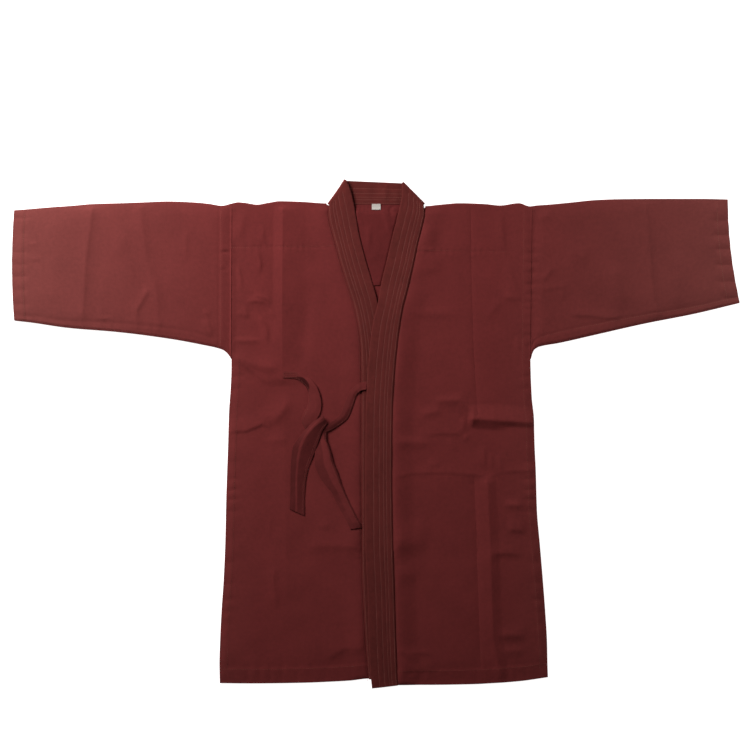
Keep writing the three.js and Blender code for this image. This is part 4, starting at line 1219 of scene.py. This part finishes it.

# Chest ties, as strips of sections: two edges (l and r), where the lengthwise fold lies between them, and
# how high the l edge, the fold and the r edge stand over the right front. The tones are painted shade: they
# darken the cloth from the l edge to lowTo, between there and highFrom, and on to the r edge, standing in for
# the shade on the flaps, in the hollow under the tie's arch and at the knot.
ties = {
    "right": {
        "l": [(-162, 98), (-139, 96), (-128, 89), (-121, 81), (-118, 72), (-117.5, 62), (-119, 50),
              (-126, 37), (-129.5, 24), (-124, 11), (-112, 2), (-100, 3)],
        "r": [(-162, 111), (-139, 109), (-125, 102), (-111, 93), (-102, 81), (-97, 67), (-94.5, 52),
              (-97, 37), (-107, 21), (-113, 13), (-111, 19), (-100, 22)],
        "foldAt": [0.5, 0.5, 0.4, 0.5, 0.65, 0.7, 0.7, 0.6, 0.5, 0.5, 0.5, 0.5],
        "low": [0, 0.1, 1.6, 1.6, 0.8, 0.4, 0.3, 0.2, 0.2, 0.2, 0.2, 0.2],
        "top": [0, 0.1, 1.4, 2.2, 2.0, 1.6, 1.3, 1.0, 0.7, 0.5, 0.4, 0.4],
        "high": [0, 0.1, 0.6, 1.3, 1.8, 1.6, 1.1, 0.6, 0.4, 0.3, 0.2, 0.2],
        "lowTo": [0.1, 0.3, 0.68, 0.45, 0.05, 0, 0, 0, 0, 0, 0, 0],
        "highFrom": [1, 1, 1, 1, 0.95, 0.95, 0.95, 1, 1, 1, 1, 1],
        "lowPaintedShadeTone": [0.9, 0.35, 0.12, 0.25, 0.75, 1, 1, 1, 0.8, 0.5, 0.4, 0.4],
        "facePaintedShadeTone": [1, 1, 1, 1, 1, 1, 1, 1, 0.9, 0.6, 0.4, 0.4],
        "highPaintedShadeTone": [1, 1, 1, 0.8, 0.7, 0.7, 0.8, 0.8, 0.7, 0.5, 0.4, 0.4],
    },
    "rightTail": {
        "l": [(-84, 19), (-93, 6), (-99.5, -12), (-106, -30), (-112, -46), (-118, -62), (-122.6, -88),
              (-124, -114), (-124, -142)],
        "r": [(-92, 33.5), (-111, 20), (-127, 2.5), (-138, -11), (-145, -24), (-148, -48), (-149, -78),
              (-149.3, -108), (-150.4, -130)],
        "foldAt": [0.8, 0.72, 0.78, 0.73, 0.65, 0.62, 0.6, 0.57, 0.56],
        "low": [4.0, 4.4, 3.4, 1.2, 0.3, 0.1, 0.1, 0.1, 0.1],
        "top": [6.2, 6.8, 6.0, 4.2, 3.0, 2.4, 2.0, 1.6, 1.0],
        "high": [5.2, 5.0, 3.2, 1.2, 0.3, 0.1, 0.1, 0.1, 0.2],
        "lowTo": [0.5, 0.62, 0.71, 0.67, 0.6, 0.57, 0.55, 0.52, 0.5],
        "highFrom": [0.9, 0.84, 0.83, 0.78, 0.71, 0.68, 0.66, 0.63, 0.62],
        "lowPaintedShadeTone": [0.28, 0.4, 0.55, 0.6, 0.6, 0.6, 0.6, 0.62, 0.65],
        "facePaintedShadeTone": [0.7, 1, 1.1, 1.1, 1.05, 1, 1, 1, 1],
        "highPaintedShadeTone": [0.5, 0.7, 0.6, 0.5, 0.45, 0.45, 0.47, 0.5, 0.5],
    },
    "left": {
        "l": [(-16.4, 78), (-26.5, 75.5), (-33, 69), (-37.5, 57), (-42.5, 42), (-49, 28), (-62, 17), (-78, 7),
              (-86, 3), (-86, -8), (-81.5, -21), (-77.5, -34), (-73.5, -49), (-66.5, -66), (-59.8, -86),
              (-53, -103), (-46.5, -118), (-39, -133), (-31.5, -148), (-24, -162)],
        "r": [(-15.6, 92), (-28, 88.5), (-42, 79), (-50, 64), (-56, 50), (-61, 36), (-71, 26), (-83, 19),
              (-97, 14), (-101, 0), (-104, -16), (-106, -31), (-107, -50), (-100.5, -69), (-90, -86),
              (-78.5, -99), (-70.5, -115), (-61, -133), (-51, -151), (-44.5, -165.5)],
        "foldAt": [0.5, 0.5, 0.5, 0.5, 0.5, 0.55, 0.6, 0.6, 0.5, 0.3, 0.2, 0.2, 0.2, 0.2, 0.2,
                   0.2, 0.2, 0.2, 0.25, 0.3],
        "low": [3.3, 3.0, 0.5, 0.1, 0.1, 0.2, 0.6, 1.4, 2.0, 2.6, 2.2, 1.8,
                1.4, 1.2, 1.0, 0.8, 0.6, 0.4, 0.3, 0.2],
        "top": [3.3, 3.2, 1.6, 1.5, 1.6, 1.9, 2.3, 2.6, 2.6, 3.2, 3.8, 3.8,
                3.6, 3.2, 2.8, 2.4, 2.1, 1.8, 1.4, 0.8],
        "high": [3.3, 3.0, 1.2, 0.8, 1.0, 1.4, 2.0, 2.4, 2.2, 1.6, 1.0, 0.7,
                 0.5, 0.4, 0.4, 0.4, 0.4, 0.4, 0.5, 0.4],
        "lowTo": [0, 0, 0.2, 0.2, 0.2, 0.2, 0.3, 0.3, 0.3, 0.25, 0.1, 0.1,
                  0.1, 0.1, 0.1, 0.1, 0.1, 0.1, 0.1, 0.1],
        "highFrom": [1, 1, 1, 1, 1, 1, 1, 1, 0.9, 0.7, 0.6, 0.52,
                     0.5, 0.5, 0.5, 0.52, 0.56, 0.6, 0.6, 0.5],
        "lowPaintedShadeTone": [1, 1, 0.7, 0.6, 0.5, 0.5, 0.45, 0.4, 0.35, 0.4, 0.5, 0.55, 0.55, 0.55, 0.6, 0.6,
                    0.7, 0.7, 0.7, 0.7],
        "facePaintedShadeTone": [1, 1, 0.9, 0.75, 0.7, 0.65, 0.62, 0.5, 0.5, 0.85, 1.1, 1.1, 1.1, 1.05, 1, 0.95,
                     0.9, 0.9, 0.9, 0.75],
        "highPaintedShadeTone": [1, 1, 0.9, 0.75, 0.7, 0.65, 0.62, 0.5, 0.4, 0.55, 0.72, 0.72, 0.7, 0.68, 0.68, 0.7,
                     0.72, 0.75, 0.8, 0.7],
    },
}
tieShape = {
    "thick": 0.8,
    "sewnThick": 0.5,
    "step": 1.6,
    "columns": 23,
    "flatTop": 0.04,
    "stitchAt": 0.12,
    "paintedShadeBlend": 0.06,
    "crisp": 0.6,  # straight share of the slope up to the fold
    "sewnEnd": (20, 20),
    "groundX": -26,
    "edgeRound": 0.65,
}
tieNodes = {"right": "tie_right", "rightTail": "tie_right_tail", "left": "tie_left"}


# A tie along its sections' smooth lines. Across it, the height runs from the l edge up to the fold and
# down to the r edge, mostly straight so that the fold stays crisp.
def tie(which):
    table = {key: np.asarray(values, float) for key, values in ties[which].items()}
    along = lengthAlong((table["l"] + table["r"]) / 2)
    at = spaced(0, along[-1], tieShape["step"])
    line = {key: through(along, table[key], at)[:, None] for key in table if table[key].ndim == 1}
    inner = np.linspace(0, 1, tieShape["columns"])[1:-1]
    across = np.concatenate([[0, 0.01, 0.03], inner, [0.97, 0.99, 1]])[None]
    edges = [[through(along, table[key][:, i], at)[:, None] for i in (0, 1)] for key in "lr"]
    x, y = (low * (1 - across) + high * across for low, high in zip(*edges))
    foldAt, flat = line["foldAt"], tieShape["flatTop"]
    fromLow = np.clip(across / (foldAt - flat), 0, 1)
    fromHigh = np.clip((1 - across) / (1 - foldAt - flat), 0, 1)
    crisp = tieShape["crisp"]
    fromLow, fromHigh = (crisp * way + (1 - crisp) * ease(way) for way in (fromLow, fromHigh))
    lowSide = line["low"] + (line["top"] - line["low"]) * fromLow
    highSide = line["high"] + (line["top"] - line["high"]) * fromHigh
    stand = np.where(across < foldAt, lowSide, highSide)
    ground = frontTop("right", np.minimum(x, tieShape["groundX"]), y)
    soft = 0.25 * uneven(x, y, 9, 95) + 0.2 * uneven(at[:, None], across * 30, 22, 96)
    z = ground + cloth["gap"] + tieShape["thick"] / 2 + np.maximum(stand + soft * ease(stand), 0)
    points = np.stack([x, y, z], 2)
    wide = np.linalg.norm(points[:, -1] - points[:, 0], axis=1)[:, None]
    fromEdge = np.minimum(np.minimum(across, 1 - across) * wide, np.minimum(at, along[-1] - at)[:, None])
    thick = np.full(len(at), tieShape["thick"])
    if which == "right":
        sewn = 1 - fadeIn(at, *tieShape["sewnEnd"])
        thick = thick - (tieShape["thick"] - tieShape["sewnThick"]) * sewn
    half = thick[:, None] / 2 * rounding(fromEdge, tieShape["edgeRound"])
    # The tone is painted shade: darker on the shaded flaps, in the hollow under the arch and at the knot.
    blend, face = tieShape["paintedShadeBlend"], line["facePaintedShadeTone"]
    onLow = 1 - ease((across - line["lowTo"]) / blend + 0.5)
    onHigh = ease((across - line["highFrom"]) / blend + 0.5)
    paintedShadeTone = face + (line["lowPaintedShadeTone"] - face) * onLow + (line["highPaintedShadeTone"] - face) * onHigh
    uv = np.stack([across * wide, at[:, None] + 0 * across], 2)
    outer, under = layers(points, gridNormals(points), half)
    made = wallMesh("tie" + which[0].upper() + which[1:], outer, under, uv, paintedShadeTone=paintedShadeTone)
    column = int(np.argmin(abs(across[0] - tieShape["stitchAt"])))
    return made, outer[5:-5, column], at[-1] * mm, float(np.mean(wide)) * mm


tieSeams = []
for which in ("right", "rightTail", "left"):
    piece, seam, length, wide = tie(which)
    dress(piece, tieCloth, "tie_cloth", tieNodes[which])
    tieSeams.append(seam)
print("ties ready")

# Sewing thread: short raised stitches in joined rows.
thread = {"pitch": 3.2, "length": 2.5, "wide": 0.5, "high": 0.22, "sunk": 0.03}
seamRuns = {
    "right": {"sideLow": -408, "sideHigh": 131, "hemStart": 22},
    "left": {"sideLow": -408, "sideHigh": 386, "hemStart": 37},
}


# Stitches along lines on the surface: each is a bar with pointed ends, laid along its line. Its points
# are places along it, across it and above it, as shares of its length, half width and height.
def stitches(name, lines):
    starts, ways = [], []
    for line in lines:
        along = lengthAlong(line)
        count = int(along[-1] / thread["pitch"])
        if count < 1:
            continue
        at = (np.arange(count) + 0.5) * along[-1] / count
        ends = [np.stack([np.interp(at + d, along, line[:, i]) for i in range(3)], 1)
                for d in (-thread["length"] / 2, thread["length"] / 2)]
        starts.append(ends[0])
        ways.append(ends[1] - ends[0])
    start, way = np.concatenate(starts), np.concatenate(ways)
    side = np.stack([-way[:, 1], way[:, 0], 0 * way[:, 0]], 1)
    side /= np.linalg.norm(side, axis=1, keepdims=True)
    ring = [(along, *place) for along in (0.2, 0.8) for place in ((-1, 0), (0, 1), (1, 0), (0, -1))]
    along, across, above = np.array([(0, 0, -0.6), *ring, (1, 0, -0.6)]).T
    points = start[:, None] + way[:, None] * along[None, :, None]
    points = points + side[:, None] * (across * thread["wide"] / 2)[None, :, None]
    points[..., 2] += above * thread["high"] + thread["sunk"]
    faces = []
    for i in range(4):
        a, b = 1 + i, 1 + (i + 1) % 4
        faces += [(0, b, a), (9, a + 4, b + 4), (a, b, b + 4), (a, b + 4, a + 4)]
    faces = np.array(faces)[None] + 10 * np.arange(len(start))[:, None, None]
    return meshObject(name, points.reshape(-1, 3), faces.reshape(-1, 3), points[..., :2].reshape(-1, 2))


# Lines on a front or a sleeve, given by their places along it, lifted to its top face.
def onFront(side, x, y):
    return np.stack([x, y, frontTop(side, x, y)], 1)


def onSleeve(side, x, y):
    return np.stack([x, y, sleeveTop(side, x, y)], 1)


def bodySeams():
    lines = []
    for side in sideSign:
        flip, seam = sideSign[side], seamRuns[side]
        y = np.linspace(seam["sideLow"], seam["sideHigh"], 200)
        lines.append(onFront(side, (lineAt(sideEdge[side], y) - cloth["sideSeamWide"]) * flip, y))
        x = np.linspace(seam["hemStart"], lineAt(sideEdge[side], -409) - 2, 120)
        lines.append(onFront(side, x * flip, lineAt(hemEdge[side], x) + cloth["hemTurn"] - 1.5))
        liningY, liningX = frontShape["liningHem"][side]
        x = np.linspace(abs(float(collarX(side, liningY))) + 3, liningX, 90)
        lines.append(onFront(side, x * flip, liningY + 1.5 * np.sin(x / 60)))
        y = np.linspace(-430, 385, 230)
        lines.append(onFront(side, collarX(side, y) + 2.2 * flip, y))
    return lines


def sleeveSeams():
    lines = []
    for side in sideSign:
        share = np.linspace(0.04, 0.96, 70)
        x = cuffAt(side, share) - cloth["cuffTurn"] + 1.5
        low = lineAt(sleeveUnderEdge[side], x)
        lines.append(onSleeve(side, x * sideSign[side], low + (lineAt(topEdge[side], x) - low) * share))
        if side == "right":
            y = np.linspace(152, 392, 90)
            x = lineAt(sideEdge[side], y) + cloth["sleeveSeamWide"] - 2
        else:
            x = np.linspace(288, 628, 120)
            y = lineAt(sleeveUnderEdge[side], x) + lineAt(underSeam, x)
        lines.append(onSleeve(side, x * sideSign[side], y))
    return lines


def tieEnds():
    x, y = np.linspace(-160, -138, 8), np.linspace(99.5, 107.5, 4)
    z = frontTop("right", x, 0 * x + 104) + cloth["gap"] + tieShape["thick"] + 0.35
    rows = [np.stack([x, 0 * x + v, z], 1) for v in (100, 103.5, 107)]
    ends = [np.stack([0 * y + u, y, 0 * y + z[0]], 1) for u in (-160, -149, -138)]
    return rows + ends


sewn = {
    "stitchingBody": (bodySeams() + sleeveSeams(), threadCloth, "cloth"),
    "stitchingCollar": (collarSeams, collarThread, "collar_cloth"),
    "stitchingTies": (tieSeams + tieEnds(), threadCloth, "tie_cloth"),
}
for name, (lines, material, slotName) in sewn.items():
    dress(stitches(name, lines), material, slotName)
for piece in scene.objects:
    if piece.type == "MESH" and not piece.hide_render:
        print(piece.name, sum(len(p.vertices) - 2 for p in piece.data.polygons), "triangles")
print("stitching ready")

# Floor and soft light: a large lamp high at the upper left, a weaker one low at the right, a little from
# all round.
lamps = {
    "key": {"x": -1170, "y": 1100, "z": 890, "size": 900, "power": 29},
    "side": {"x": 950, "y": 430, "z": 380, "size": 600, "power": 2.1},
}
studio = {"fill": 0.01, "floorColor": 0.9, "floorGlow": 1.0, "floorSize": 8000, "floorDrop": -0.3}


def floorMaterial():
    material, tree = newMaterial("paleFloor")
    fill(tree, tree.nodes["Principled BSDF"], {
        "Base Color": (*[studio["floorColor"]] * 3, 1),
        "Roughness": 0.9,
        "Emission Color": (1, 1, 1, 1),
        "Emission Strength": studio["floorGlow"],
    })
    return material


def makeFloor():
    reach, level = studio["floorSize"] * mm, studio["floorDrop"] * mm
    mesh = bpy.data.meshes.new("floor")
    corners = [(-reach, -reach, level), (reach, -reach, level), (reach, reach, level), (-reach, reach, level)]
    mesh.from_pydata(corners, [], [(0, 1, 2, 3)])
    floor = bpy.data.objects.new("floor", mesh)
    mesh.materials.append(floorMaterial())
    scene.collection.objects.link(floor)


def makeLamp(name, values):
    lamp = bpy.data.lights.new(name, "AREA")
    lamp.shape, lamp.size, lamp.energy = "SQUARE", values["size"] * mm, values["power"]
    made = bpy.data.objects.new(name, lamp)
    made.location = (values["x"] * mm, values["y"] * mm, values["z"] * mm)
    scene.collection.objects.link(made)
    aim = (cadBox[0] + cadBox[1]) / 2 - made.location
    made.rotation_mode = "QUATERNION"
    made.rotation_quaternion = aim.to_track_quat("-Z", "Y")


makeFloor()
for name, values in lamps.items():
    makeLamp(name, values)
world = bpy.data.worlds.new("studio")
world.use_nodes = True
world.node_tree.nodes["Background"].inputs["Color"].default_value = (1, 1, 1, 1)
world.node_tree.nodes["Background"].inputs["Strength"].default_value = studio["fill"]
scene.world = world
print("light ready")
